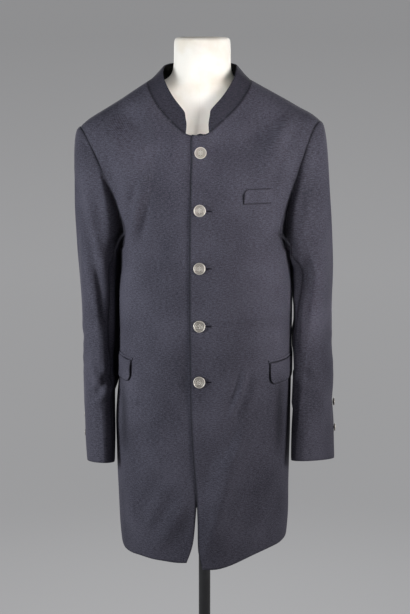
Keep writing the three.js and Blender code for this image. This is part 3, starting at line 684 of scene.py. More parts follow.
BODY_CREASES = (
    RIGHT_VALLEY,
    LEFT_VALLEY,
    *UNDERARM_SHADES,
    # the skirt's sides fold back under the sleeves, with painted shade along the fold
    tuck(((-155, 905), (-153, 840), (-152, 766)), -4.0, 8, 0.9),
    tuck(((154, 925), (152, 850), (151, 762)), -4.0, 8, 0.9),
    # the hollow under each arm, with painted shade in it
    tuck(((-178, 1226), (-166, 1197), (-162, 1164)), -4.0, 8, 1.4),
    tuck(((176, 1226), (165, 1197), (161, 1164)), -4.0, 8, 1.4),
    *folds(
        Facing.FRONT,
        # wearer's right chest, from the dimple down to the side
        (((-95, 1311), (-110, 1287), (-122, 1245), (-134, 1190)), 5.2, 9, 0.5),
        (((-84, 1318), (-100, 1301), (-112, 1288)), -4.0, 6, 0.5),
        (((-118, 1305), (-134, 1262), (-144, 1210)), -4.6, 10),
        (((-98, 1262), (-108, 1225), (-116, 1180)), -3.0, 10),
        (((-60, 1215), (-84, 1160), (-100, 1100)), -2.2, 18),
        # hollows below the shoulders
        (((-172, 1437), (-133, 1413), (-96, 1376)), -8.1, 17),
        (((-190, 1400), (-168, 1370), (-150, 1335)), 3.5, 14),
        (((-60, 1382), (-84, 1356), (-104, 1330)), -3.8, 15),
        (((126, 1418), (106, 1400), (88, 1376)), -6.8, 16),
        (((167, 1422), (150, 1388), (139, 1345)), 5.9, 12),
        (((150, 1330), (140, 1290), (140, 1240)), -3.2, 14),
        (((40, 1330), (70, 1300), (108, 1290)), 1.6, 14),
        # across the waist, beside the fourth button
        (((12, 1036), (77, 1033), (156, 1038)), -2.0, 5, 0.8),
        (((-150, 1040), (-95, 1036), (-40, 1040)), -1.4, 7),
        # the lapping edge pulls a hollow under it above the last button
        (((-26, 1010), (-26, 930), (-23, 850)), -2.2, 9, 0.1),
        # skirt, wearer's left
        (((90, 950), (78, 904), (60, 856)), 5.8, 6, 0.6),
        (((100, 930), (92, 895), (76, 862)), -3.2, 7),
        (((84, 828), (70, 794), (55, 764)), 5.2, 7, 0.6),
        (((103, 864), (66, 770), (20, 662)), 7.4, 18, 0.5),
        (((59, 736), (32, 650), (7, 566)), 5.6, 13),
        (((128, 800), (108, 720), (84, 640)), -4.6, 20),
        (((135, 690), (118, 640), (96, 600)), 3.2, 16),
        # skirt, wearer's right
        (((-92, 826), (-77, 819), (-61, 804)), 3.0, 5, 0.7),
        (((-146, 880), (-132, 873), (-120, 882)), 2.7, 5, 0.7),
        (((-68, 748), (-101, 684), (-119, 636)), -6.0, 16),
        (((-19, 704), (-46, 647), (-82, 586)), 5.4, 14),
        (((-52, 700), (-78, 650), (-104, 600)), -3.5, 12),
        (((-140, 700), (-133, 640), (-126, 590)), 3.2, 12),
    ),
    # shoulder blades, waist and skirt
    *folds(
        Facing.BACK,
        (((-140, 1405), (-105, 1370), (-82, 1320)), 3.4, 20, 0.3),
        (((135, 1408), (108, 1368), (86, 1325)), 3.2, 18, 0.3),
        (((-170, 1290), (-140, 1240), (-122, 1180)), -4.0, 14, 0.4),
        (((168, 1296), (142, 1238), (120, 1176)), -3.8, 13, 0.4),
        (((-120, 1110), (-70, 1092), (-20, 1100)), -2.4, 9, 0.5),
        (((30, 1072), (82, 1064), (130, 1084)), -2.2, 9, 0.5),
        (((-70, 980), (-86, 860), (-96, 720), (-92, 600)), 3.8, 22, 0.4),
        (((66, 960), (84, 840), (88, 700), (98, 590)), 3.6, 20, 0.4),
        (((-22, 900), (-30, 760), (-26, 600)), -3.2, 16, 0.3),
        (((34, 840), (40, 720), (30, 590)), -2.8, 15, 0.3),
    ),
    *folds(
        Facing.LEFT,
        (((-30, 1150), (-10, 1080), (-24, 1010)), -2.6, 14, 0.4),
        (((30, 900), (44, 780), (36, 620)), 3.0, 18, 0.4),
    ),
    *folds(
        Facing.RIGHT,
        (((-36, 1140), (-14, 1076), (-20, 1000)), -2.6, 14, 0.4),
        (((24, 910), (40, 770), (44, 610)), 3.0, 18, 0.4),
    ),
)

RIGHT_SLEEVE_CREASES = (
    RIGHT_VALLEY,
    *UNDERARM_SHADES,
    # the sleeve's folds into the armhole, with painted shade along them
    tuck(((-190, 1330), (-182, 1300), (-173, 1269), (-167, 1245), (-162, 1222)), -12, 7, 1.2, 5),
    tuck(((-168, 1262), (-162, 1232), (-158, 1206), (-160, 1180), (-163, 1140), (-166, 1090)),
         -22, 12, 1.6, 6),
    tuck(((-186, 1215), (-184, 1130), (-183, 1020), (-184, 900), (-184, 800)), 8.0, 13),
    *folds(
        Facing.FRONT,
        (((-247, 1305), (-232, 1230), (-213, 1152), (-196, 1064), (-186, 992), (-182, 935)), -5.0, 9, 0.4),
        (((-226, 1335), (-222, 1250), (-205, 1160), (-186, 1090)), 3.6, 12, 0.3),
        (((-180, 927), (-196, 896), (-217, 870), (-232, 857)), -4.6, 7, 0.6),
        (((-222, 924), (-206, 903), (-186, 877)), 3.4, 7, 0.4),
        (((-240, 940), (-226, 905), (-218, 880)), -2.2, 8, 0.4),
        (((-236, 1378), (-228, 1366), (-222, 1352)), -2.6, 7, 0.3),
        (((-214, 840), (-206, 790), (-208, 745)), -1.8, 12, 0.3),
    ),
    *folds(
        Facing.RIGHT,
        (((-20, 1300), (-8, 1180), (10, 1060)), 3.0, 14, 0.3),
        (((-46, 1010), (-10, 980), (30, 975)), -1.4, 10, 0.5),
        (((-40, 960), (-6, 936), (34, 940)), 1.2, 10, 0.4),
        (((40, 900), (14, 850), (-10, 800)), -2.4, 12, 0.4),
    ),
    *folds(
        Facing.BACK,
        (((-205, 1260), (-214, 1130), (-220, 1010)), -3.0, 14, 0.3),
        (((-200, 960), (-216, 930), (-232, 925)), -3.4, 9, 0.5),
    ),
)

LEFT_SLEEVE_CREASES = (
    LEFT_VALLEY,
    *UNDERARM_SHADES,
    # the sleeve's folds into the armhole, with painted shade along them
    tuck(((180, 1345), (174, 1306), (167, 1268), (162, 1232), (159, 1200)), -14, 7, 1.2, 5),
    tuck(((164, 1246), (160, 1214), (160, 1184), (163, 1140)), -18, 9, 1.5, 6),
    tuck(((184, 1225), (182, 1130), (183, 1020), (184, 900), (186, 800)), 11.0, 16),
    *folds(
        Facing.FRONT,
        (((217, 1308), (206, 1264), (194, 1208)), 4.0, 8, 0.5),
        (((224, 1350), (212, 1292), (201, 1242)), -3.6, 8, 0.3),
        (((232, 1192), (226, 1086), (219, 976)), 1.4, 14, 0.3),
        (((196, 1182), (200, 1090), (196, 996)), -0.9, 10, 0.3),
        (((196, 932), (214, 905), (240, 895)), -2.6, 9, 0.4),
        (((200, 862), (206, 800), (204, 743)), 1.8, 12, 0.3),
    ),
    *folds(
        Facing.LEFT,
        (((-24, 1310), (-10, 1190), (8, 1070)), 3.0, 14, 0.3),
        (((-48, 1000), (-12, 972), (28, 966)), -1.4, 10, 0.5),
        (((-42, 946), (-8, 926), (32, 932)), 1.2, 10, 0.4),
        (((42, 880), (16, 836), (-8, 790)), -2.4, 12, 0.4),
    ),
    *folds(
        Facing.BACK,
        (((206, 1270), (214, 1140), (218, 1020)), -3.0, 14, 0.3),
        (((198, 950), (214, 924), (234, 918)), -3.4, 9, 0.5),
    ),
)


def unevenness(points: np.ndarray) -> np.ndarray:
    """Return the slight waviness of pressed wool at places in millimetres, in millimetres outwards."""
    x, y, z = points.T
    slow = np.sin(x / 31 + 1.7 * np.sin(z / 97)) * np.sin(z / 61 + 1.3 * np.sin(x / 53 + y / 71))
    quick = np.sin(x / 13 + z / 37 + y / 23) * np.sin(z / 19 - x / 41)
    return 0.35 * slow + 0.12 * quick


# ------------------------------------------------------------------ cloth


@dataclass(frozen=True)
class Neckline:
    """The shallow V that the fronts' top is trimmed to, in millimetres.

    Attributes:
        low: height of its bottom.
        middle: x of its bottom.
        flat: half-width of its bottom.
        slope: of its sides.
        trim_middle: x that the trimming goes out from.
        trim_reach: how far it goes.
    """

    low: float = 1390.2
    middle: float = -10.0
    flat: float = 4.0
    slope: float = 0.33
    trim_middle: float = -8.0
    trim_reach: float = 20.0

    def trim(self, points: np.ndarray) -> None:
        """Lower the points that stand above the line.

        Args:
            points: of a front, in metres, which are changed.
        """
        x = points[:, 0] / MM
        top = self.low + self.slope * np.maximum(np.abs(x - self.middle) - self.flat, 0)
        chosen = (np.abs(x - self.trim_middle) < self.trim_reach) & (points[:, 1] < 0)
        points[chosen, 2] = np.minimum(points[chosen, 2], top[chosen] * MM)


@dataclass(frozen=True)
class Sewing:
    """How the edges are worked, in millimetres.

    Attributes:
        reach: how near a neighbour's edge has to be to be sewn to.
        alongside: how parallel it has to be, as a cosine, and the stretch over which that comes in.
        give: how far from an edge the cloth follows when it is drawn to its neighbour.
        touching: gap up to which two edges count as sewn once they are drawn together.
        sink: how deep a seam is pressed in.
        seam: width of that.
        free: width over which a free edge is rounded.
        shade: width of the painted shade at a seam.
        edge_shade: width and strength of the painted shadow along a free edge that stands off.
    """

    reach: float = 6.0
    alongside: tuple[float, float] = (0.6, 0.2)
    give: float = 16.0
    touching: float = 1.6
    sink: float = 0.5
    seam: float = 2.4
    free: float = 2.0
    shade: float = 2.2
    edge_shade: float = 1.5


@dataclass
class ClothPiece:
    """One cut piece of the coat: a thin shell on the outer skin of its solid.

    Attributes:
        node: the solid it stands for.
        cut: width and length of the flat piece and its area in square metres, or nothing for a strip
        too narrow to be a sheet of its own; not used.
        creases: the folds drawn on it.
        wall: the solid's wall in millimetres.
        shell: the drawn cloth's thickness in millimetres.
        slot: the record's material slot.
        levels: of subdivision.
        merge: points closer than this in millimetres become one, so that narrow strips don't pucker.
        turn: direction in degrees round the piece's middle that its pattern is unrolled from.
        middle: rows of height, x and y in millimetres of the line that it goes round.
        rests_on: what the sheet lies on or is sewn to; not used.
        fit: rounds of drawing the smooth sheet back through the solid's own points.
        shadowed_edges: range of x and z in millimetres in which its free edges stand off and get a painted
            shadow line along them.
        neckline: what its top is trimmed to, if it is.
        sewing: how its edges are worked.
        obj: the sheet, once it is built.
        painted_crease_shade: how much painted shade each of its points gets from the creases' valleys.
    """

    node: str
    cut: Place | None
    creases: tuple[Crease, ...] = ()
    wall: float = 2.0
    shell: float = 1.5
    slot: str = "wool_cloth"
    levels: int = 3
    merge: float = 0.3
    turn: float = -90.0
    middle: tuple[Place, ...] = ((0, -2, 0),)
    rests_on: tuple[str, ...] = ("dress_form",)
    fit: int = 3
    shadowed_edges: tuple[float, float, float, float] | None = None
    neckline: Neckline | None = None
    sewing: Sewing = Sewing()
    obj: bpy.types.Object | None = field(default=None, init=False)
    painted_crease_shade: np.ndarray | None = field(default=None, init=False)

    def axis_at(self, points: np.ndarray) -> np.ndarray:
        """Return the line's x and y beside each point, in metres."""
        rows = np.array(sorted(self.middle), dtype=float) * MM
        return np.stack([np.interp(points[:, 2], rows[:, 0], rows[:, i]) for i in (1, 2)], axis=1)

    def outer_skin(self, node: bpy.types.Object) -> bmesh.types.BMesh:
        """Keep the outer face of the solid's wall.

        Args:
            node: the solid's object, which is left as it is.

        Returns:
            A bmesh of the outer sheet, in four-sided faces.
        """
        bm = solid_bmesh(node)
        wall = self.wall * MM
        rim = [f for f in bm.faces if any(abs(e.calc_length() - wall) < WALL_SLACK for e in f.edges)]
        bmesh.ops.delete(bm, geom=rim, context="FACES")
        waiting = set(bm.faces)
        inner: list[bmesh.types.BMFace] = []
        while waiting:
            island, edge = set(), [waiting.pop()]
            while edge:
                face = edge.pop()
                island.add(face)
                for neighbour in {f for e in face.edges for f in e.link_faces} & waiting:
                    waiting.discard(neighbour)
                    edge.append(neighbour)
            centres = np.array([f.calc_center_median() for f in island])
            out = np.array([f.normal[:2] for f in island]) * np.array([[f.calc_area()] for f in island])
            if ((centres[:, :2] - self.axis_at(centres)) * out).sum() < 0:
                inner.extend(island)
        bmesh.ops.delete(bm, geom=inner, context="FACES")
        bmesh.ops.remove_doubles(bm, verts=bm.verts, dist=self.merge * MM)
        join_quads(bm)
        return bm

    def build(self, node: bpy.types.Object) -> None:
        """Make the smooth sheet through the solid's own points and draw its folds on it.

        Args:
            node: the solid's object.
        """
        self.obj = finish_bmesh(self.outer_skin(node), "cloth_" + self.node)
        dense = make_dense(self.obj, self.levels, self.fit)
        points, out = coordinates(dense), coordinates(dense, "normal")
        to_rim = near(points, points[rim_points(dense)]) / MM
        moved = out * unevenness(points / MM)[:, None]
        self.painted_crease_shade = np.zeros(len(points))
        for crease in self.creases:
            shift, shade_painted = crease.offsets(points / MM, out, to_rim)
            moved += shift
            self.painted_crease_shade = np.maximum(self.painted_crease_shade, shade_painted)
        points += moved * MM
        if self.neckline:
            self.neckline.trim(points)
        set_coordinates(dense, points)

    def meet(self, lines: list[np.ndarray]) -> None:
        """Ease the edges onto the neighbours' edges that they are sewn to.

        Args:
            lines: for each neighbour, its border as rows of a start and an end point.
        """
        mesh = self.obj.data
        points = coordinates(mesh)
        rim = np.array(rim_points(mesh))
        ends = np.concatenate(lines)
        starts, runs = ends[:, 0], ends[:, 1] - ends[:, 0]
        share = ((points[rim][:, None] - starts) * runs).sum(2) / np.maximum((runs**2).sum(1), 1e-12)
        feet = starts + np.clip(share, 0, 1)[..., None] * runs
        gaps = np.linalg.norm(feet - points[rim][:, None], axis=2)
        best = gaps.argmin(axis=1)
        rows = np.arange(len(rim))
        gap = gaps[rows, best]
        aims = np.zeros((len(points), 3))
        aims[rim] = runs[best] / np.maximum(np.linalg.norm(runs[best], axis=1), 1e-9)[:, None]
        along = np.zeros(len(points))
        for pair in rim_edges(mesh):
            way = points[pair[1]] - points[pair[0]]
            way /= max(np.linalg.norm(way), 1e-9)
            along[pair] = np.maximum(along[pair], np.abs(aims[pair] @ way))
        reach, give = self.sewing.reach * MM, self.sewing.give * MM
        least, over = self.sewing.alongside
        sewn = np.clip((reach - gap) / (reach / 2), 0, 1) * np.clip((along[rim] - least) / over, 0, 1)
        pull = (feet[rows, best] - points[rim]) * sewn[:, None]
        tree = tree_of(points[rim])
        for i, p in enumerate(points):
            _, nearest, away = tree.find(p)
            if away < give:
                points[i] += pull[nearest] * (1 - away / give) ** 2
        set_coordinates(mesh, points)

    def press(self, others: np.ndarray) -> None:
        """Sink the edges sewn to other pieces, round the free ones, and store painted shade at seams, creases
        and raised edges.

        Args:
            others: border points of the other pieces of cloth.
        """
        mesh, sewing = self.obj.data, self.sewing
        points, out = coordinates(mesh), coordinates(mesh, "normal")
        rim = points[rim_points(mesh)]
        sewn = near(rim, others) < sewing.touching * MM
        to_seam = near(points, rim[sewn]) / MM
        to_edge = near(points, rim[~sewn]) / MM
        sink = sewing.sink * (bell(to_seam, sewing.seam) + bell(to_edge, sewing.free))
        set_coordinates(mesh, points - out * sink[:, None] * MM)
        # painted shade at the seams and along the creases' valleys
        shade = np.maximum(bell(to_seam, sewing.shade), self.painted_crease_shade)
        # painted shadow along free edges that stand off
        if self.shadowed_edges:
            x0, x1, z0, z1 = np.array(self.shadowed_edges) * MM
            inside = (rim[:, 0] > x0) & (rim[:, 0] < x1) & (rim[:, 2] > z0) & (rim[:, 2] < z1)
            edge = bell(near(points, rim[inside]) / MM, sewing.edge_shade)
            shade = np.maximum(shade, sewing.edge_shade * edge)
        add_attribute(mesh, "seam", shade)

    def unroll(self) -> None:
        """Give the sheet a UV map in metres: round its middle line, and height."""
        mesh = self.obj.data
        points = coordinates(mesh)
        away = points[:, :2] - self.axis_at(points)
        facing = math.radians(self.turn)
        bearing = (np.arctan2(away[:, 1], away[:, 0]) - facing + np.pi) % (2 * np.pi) - np.pi
        radius = float(np.linalg.norm(away, axis=1).mean())
        layer = mesh.uv_layers.new(name="cloth")
        corners = np.empty(len(mesh.loops), dtype=int)
        mesh.loops.foreach_get("vertex_index", corners)
        places = np.stack([bearing[corners] * radius, points[corners, 2]], axis=1)
        layer.data.foreach_set("uv", places.ravel().astype(np.float32))

    def dress(self, outside: bpy.types.Material, inside: bpy.types.Material) -> None:
        """Give the sheet its thickness and its materials, hang it on the body and hide the solid that it
        stands for.

        Args:
            outside: of the right side and the edges.
            inside: of the wrong side.
        """
        wall = self.obj.modifiers.new("cloth", "SOLIDIFY")
        wall.thickness = self.shell * MM
        wall.offset = -1.0
        wall.material_offset = 1
        hand_over(self.obj, self.slot, outside, inside, node=self.node)


RIGHT_SPINE = ((1410, -222, 0), (1120, -210, 0), (960, -212, 6), (860, -212, -4), (727, -209, -32))
LEFT_SPINE = ((1410, 230, 0), (1120, 217, 0), (960, 218, 6), (860, 219, -4), (738, 220, -31))


def cloth_pieces() -> dict[str, ClothPiece]:
    """Return the coat's pieces of cloth by the names of their solids."""
    flap_creases = (*BODY_CREASES, *FLAP_LIFTS)
    on_front = ("front_left",)
    pieces = [
        ClothPiece("front_left", (0.350, 0.950, 0.262), BODY_CREASES, neckline=Neckline(),
                   shadowed_edges=(-45, 8, 556, 1393)),
        ClothPiece("front_right", (0.345, 0.945, 0.261), BODY_CREASES, neckline=Neckline()),
        ClothPiece("back_left", (0.240, 0.930, 0.194), BODY_CREASES),
        ClothPiece("back_right", (0.240, 0.940, 0.196), BODY_CREASES),
        ClothPiece("collar", (0.080, 0.520, 0.020), wall=2.4, shell=2.0, slot="collar_cloth",
                   middle=((0, -8, 0),), fit=0, rests_on=on_front),
        ClothPiece("breast_welt", (0.030, 0.067, 0.0019), BODY_CREASES, shell=1.8,
                   shadowed_edges=(0, 132, 1200, 1400), rests_on=on_front),
        ClothPiece("hip_flap_left", (0.046, 0.166, 0.0073), flap_creases, shell=1.8,
                   shadowed_edges=(0, 175, 900, 962)),
        ClothPiece("hip_flap_right", (0.046, 0.156, 0.0068), flap_creases, shell=1.8,
                   shadowed_edges=(-165, 0, 900, 945)),
        ClothPiece("hip_jet_left", None, BODY_CREASES, wall=1.2, shell=1.1),
        ClothPiece("hip_jet_right", None, BODY_CREASES, wall=1.2, shell=1.1),
    ]
    for side, spine, creases, outwards in (
        ("left", LEFT_SPINE, LEFT_SLEEVE_CREASES, 0.0),
        ("right", RIGHT_SPINE, RIGHT_SLEEVE_CREASES, 180.0),
    ):
        for part, cut, turn in (
            ("upper_sleeve_", (0.230, 0.705, 0.123), -20),
            ("under_sleeve_", (0.155, 0.575, 0.066), 180),
        ):
            pieces.append(ClothPiece(part + side, cut, creases, turn=outwards + turn, middle=spine,
                                     rests_on=("front_" + side, "back_" + side)))
    return {piece.node: piece for piece in pieces}


SEWING_ORDER = (
    "back_left", "back_right", "front_left", "front_right", "upper_sleeve_left", "upper_sleeve_right",
    "under_sleeve_left", "under_sleeve_right", "collar",
)


@dataclass(frozen=True)
class Lean:
    """How closely a sleeve hangs beside the body, in millimetres.

    Attributes:
        inwards: sign of the way to the body.
        front_gap: how much wider the gap is towards the front.
        rows: of height and gap.
        behind: depths before and across the sleeve's middle over which it narrows to the back.
        top: height below which the sleeve leans.
        fade: stretch below the top over which that comes in.
        far: gap at which it hangs free.
        soft: stretch of gap over which it comes to lean.
        facing: how far the cloth has to face the body, and the turn over which that comes in.
    """

    inwards: float
    front_gap: float
    rows: Path
    behind: tuple[float, float] = (14.0, 26.0)
    top: float = 1186.0
    fade: float = 30.0
    far: float = 24.0
    soft: float = 14.0
    facing: tuple[float, float] = (0.1, 0.3)

    def bend(self, sleeve: ClothPiece, walls: list[BVHTree]) -> None:
        """Let a part of the sleeve lean on the body's side.

        Args:
            sleeve: the part.
            walls: what it leans on.
        """
        mesh = sleeve.obj.data
        points, out = coordinates(mesh), coordinates(mesh, "normal")
        heights, gaps = np.array(self.rows).T * MM
        before, across = self.behind
        behind = points[:, 1] - sleeve.axis_at(points)[:, 1] + before * MM
        behind = np.clip(behind / (across * MM), 0, 1)
        below = np.clip((self.top * MM - points[:, 2]) / (self.fade * MM), 0, 1)
        least, over = self.facing
        for i in np.flatnonzero((out[:, 0] * self.inwards > least) & (below > 0)):
            hits = [wall.ray_cast(Vector(points[i]), Vector((self.inwards, 0, 0)))[3] for wall in walls]
            gap = min((h for h in hits if h is not None), default=1.0)
            spare = gap - np.interp(points[i, 2], heights, gaps) - (1 - behind[i]) * self.front_gap * MM
            if spare > 0:
                ease = min(max((self.far * MM - gap) / (self.soft * MM), 0), 1)
                ease *= min((out[i, 0] * self.inwards - least) / over, 1)
                points[i, 0] += self.inwards * spare * below[i] * ease * ease * (3 - 2 * ease)
        set_coordinates(mesh, points)


LEANS = {
    "left": Lean(-1.0, 5.0, (
        (800, 20), (860, 3), (930, 3), (955, 1.2), (995, 1.2), (1012, 4.5), (1040, 4.5), (1070, 1.0),
        (1150, 1.0), (1175, 3),
    )),
    "right": Lean(1.0, 8.0, ((820, 20), (880, 3), (900, 1.0), (1150, 1.0), (1175, 3))),
}


@dataclass
class Coat:
    """The coat's cloth: builds each piece, presses the seams and dresses all in wool."""

    wool: WovenCloth = WovenCloth("charcoal worsted twill", dark="#2c2b33", light="#52505b")
    collar_wool: WovenCloth = WovenCloth(
        "dark collar cloth", dark="#232228", light="#3c3a44", nap=0.05, nap_colour="#77788c", rib=1.2)
    # the wrong side is the same wool drawn darker: painted shade
    inside: WovenCloth = WovenCloth("inside of the wool", dark="#1d1c22", light="#33313a", nap=0.0)
    # the collar's inside is drawn near-black: painted shade
    collar_inside_shade: WovenCloth = WovenCloth("inside of the collar", dark="#0d0c0c", light="#1d1b1b", nap=0.0)

    def sew(self, pieces: dict[str, ClothPiece]) -> None:
        """Draw the sewn edges together and press them.

        Args:
            pieces: the pieces by the names of their solids.
        """
        done: list[str] = []
        for name in SEWING_ORDER:
            meshes = [pieces[n].obj.data for n in done if {n, name} != {"front_left", "front_right"}]
            if meshes:
                pieces[name].meet([coordinates(mesh)[rim_edges(mesh)] for mesh in meshes])
            done.append(name)
        rims = {name: coordinates(p.obj.data)[rim_points(p.obj.data)] for name, p in pieces.items()}
        for name, piece in pieces.items():
            others = [rims[n] for n in pieces if n in done and n != name] if name in done else []
            piece.press(np.concatenate(others) if others else np.empty((0, 3)))
            piece.unroll()

    def build(self, nodes: dict[str, bpy.types.Object]) -> dict[str, ClothPiece]:
        """Build every piece of cloth.

        Args:
            nodes: the solids' objects by name.

        Returns:
            The pieces by the names of their solids.
        """
        pieces = cloth_pieces()
        for name, piece in pieces.items():
            piece.build(nodes[name])
        for side, lean in LEANS.items():
            walls = [surface(pieces[n + side].obj) for n in ("front_", "back_", "hip_flap_", "hip_jet_")]
            for part in ("upper_sleeve_", "under_sleeve_"):
                lean.bend(pieces[part + side], walls)
        self.sew(pieces)
        wool = (self.wool.make(), self.inside.make())
        collar = (self.collar_wool.make(), self.collar_inside_shade.make())
        for name, piece in pieces.items():
            piece.dress(*(collar if name == "collar" else wool))
        return pieces


# ------------------------------------------------------------------ buttons and buttonholes


def seat_of(node: bpy.types.Object, outwards: Vector) -> Matrix:
    """Find how a round button sits.

    Args:
        node: the button's solid.
        outwards: roughly the way that it faces.

    Returns:
        The place of its underside's middle, with local Z along its own axis.
    """
    points = coordinates(node.data)
    middle = (points.min(0) + points.max(0)) / 2
    _, _, axes = np.linalg.svd(points - points.mean(0), full_matrices=False)
    out = Vector(axes[2])
    if out.dot(outwards) < 0:
        out.negate()
    low = float(((points - middle) @ np.array(out)).min())
    across = Vector((0, 0, 1)).cross(out).normalized()
    up = out.cross(across)
    turn = Matrix((across, up, out)).transposed().to_4x4()
    return Matrix.Translation(Vector(middle) + out * low) @ turn


@dataclass(frozen=True)
class CoinButton:
    """A cast coin button with a beaded rim and a plain eight-petalled rosette.

    Attributes are in millimetres. The relief's are those of a button of the drawn radius, and go with
    the radius: outlines are rows of distance in from the rim and height above the underside or below
    the top, and the sizes of beads, petals and heart are half-sizes.
    """

    radius: float = 11.5
    thick: float = 2.6
    shank: float = 1.2
    shank_radius: float = 3.5
    petals: int = 8
    beads: int = 34
    steps: int = 56
    drawn_radius: float = 11.5
    back: Path = ((1.2, 0), (0.3, 0.4), (0, 1.0))
    face: Path = ((0, 0.9), (0.3, 0.25), (0.9, 0), (1.5, 0.2), (1.9, 0.75), (4.0, 0.8), (4.3, 0.45),
                  (4.8, 0.45), (5.1, 0.8), (9.5, 0.65), (11.5, 0.65))
    face_drop: float = 0.75
    relief_low: float = 0.1
    bead_ring: float = 8.55
    bead: Place = (0.62, 0.62, 0.527)
    petal_ring: float = 3.7
    petal: Place = (1.9, 0.95, 0.55)
    heart: Place = (1.35, 1.35, 0.75)

    def build(self, name: str, place: Matrix) -> bpy.types.Object:
        """Model the button in its place.

        Args:
            name: the piece's name.
            place: from seat_of.

        Returns:
            The button, with the "relief" attribute.
        """
        k = self.radius / self.drawn_radius
        top = self.shank + self.thick
        face = top - self.face_drop * k
        outline = [(0, 0), (self.shank_radius, 0), (self.shank_radius, self.shank)]
        outline += [(self.radius - inset * k, self.shank + rise * k) for inset, rise in self.back]
        outline += [(self.radius - inset * k, top - drop * k) for inset, drop in self.face]
        bm = spin(outline, self.steps, merge=1e-4)

        def stud(turn: float, ring: float, size: Place) -> Matrix:
            """Return the place and size of a raised stud on a ring."""
            out = Matrix.Rotation(turn, 4, "Z") @ Matrix.Translation((ring * k, 0, face))
            return out @ Matrix.Diagonal((*(s * k for s in size), 1))

        for i in range(self.beads):
            bead = stud(2 * math.pi * i / self.beads, self.bead_ring, self.bead)
            bmesh.ops.create_icosphere(bm, subdivisions=1, radius=1, matrix=bead)
        for i in range(self.petals):
            petal = stud(2 * math.pi * i / self.petals, self.petal_ring, self.petal)
            bmesh.ops.create_uvsphere(bm, u_segments=10, v_segments=6, radius=1, matrix=petal)
        bmesh.ops.create_uvsphere(bm, u_segments=14, v_segments=8, radius=1, matrix=stud(0, 0, self.heart))
        heights = np.array([v.co.z for v in bm.verts])
        bmesh.ops.transform(bm, matrix=place @ Matrix.Scale(MM, 4), verts=bm.verts)
        button = finish_bmesh(bm, name)
        relief = (heights - face + self.relief_low) / (self.face_drop * k)
        add_attribute(button.data, "relief", np.clip(relief, 0, 1))
        return button


@dataclass(frozen=True)
class Buttonhole:
    """A worked buttonhole: close purl stitches round a slit, lying across the left front.

    Attributes:
        height: of the slit in millimetres.
        start: its end beside the front edge, x in millimetres.
        end: its far end, x in millimetres.
        half_gap: from its middle to the stitches in millimetres.
        stitch: spacing of the stitches in millimetres.
        knot: half-sizes of a stitch in millimetres: along x, along z and off the cloth.
        proud: how far the stitches' middles lie off the cloth in millimetres.
    """

    height: float
    start: float = -3.0
    end: float = 22.5
    half_gap: float = 0.55
    stitch: float = 0.9
    knot: Place = (0.496, 0.93, 0.434)
    proud: float = 0.1

    def build(self, name: str, cloth: BVHTree) -> bpy.types.Object:
        """Model the ring of stitches on the cloth.

        Args:
            name: the piece's name.
            cloth: the left front, to lay it on.

        Returns:
            The buttonhole.
        """
        straight = self.end - self.start
        half = straight + math.pi * self.half_gap
        count = int(2 * half / self.stitch)
        size = Matrix.Diagonal((*(s * MM for s in self.knot), 1))
        bm = bmesh.new()
        for i in range(count):
            side, run = divmod(2 * half * i / count, half)
            turn = max(run - straight, 0) / self.half_gap
            along = min(run, straight) + self.half_gap * math.sin(turn)
            across = self.half_gap * math.cos(turn)
            x = self.end - along if side else self.start + along
            z = self.height + (across if side else -across)
            hit, out, _, _ = cloth.ray_cast(Vector((x * MM, -FAR, z * MM)), Vector((0, 1, 0)))
            if hit is None:
                continue
            lean = out.to_track_quat("Z", "Y").to_matrix().to_4x4()
            place = Matrix.Translation(hit + out * self.proud * MM) @ lean @ size
            bmesh.ops.create_icosphere(bm, subdivisions=1, radius=1.0, matrix=place)
        return finish_bmesh(bm, name)


@dataclass
class Fastenings:
    """The five front buttons with their buttonholes, and the two buttons of each cuff."""

    front: CoinButton = CoinButton()
    cuff: CoinButton = CoinButton(radius=7.5, thick=2.2, shank=1.0, shank_radius=2.5, beads=26, steps=40)
    metal: CastPewter = CastPewter()
    thread: WovenCloth = WovenCloth("buttonhole twist", dark="#1b1a21", light="#2f2d38", nap=0.0, rib=0.6)
    hole_heights: tuple[float, ...] = (1251, 1143, 1033, 925)

    def build(self, nodes: dict[str, bpy.types.Object], front: ClothPiece) -> None:
        """Build buttons and buttonholes.

        Args:
            nodes: the solids' objects by name.
            front: the left front, which the buttonholes are worked in.
        """
        metal, thread = self.metal.make(), self.thread.make()
        for name, node in nodes.items():
            if "button" not in name:
                continue
            kind, outwards = self.front, Vector((0, -1, 0))
            if name.startswith("cuff"):
                low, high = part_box(name)
                kind, outwards = self.cuff, Vector((math.copysign(1, low.x + high.x), 0, 0))
            button = kind.build("coin_" + name, seat_of(node, outwards))
            hand_over(button, "pewter", metal, node=name)
        cloth = surface(front.obj)
        for i, height in enumerate(self.hole_heights, start=2):
            hand_over(Buttonhole(height).build(f"buttonhole_{i}", cloth), "wool_cloth", thread)


# ------------------------------------------------------------------ form and stand


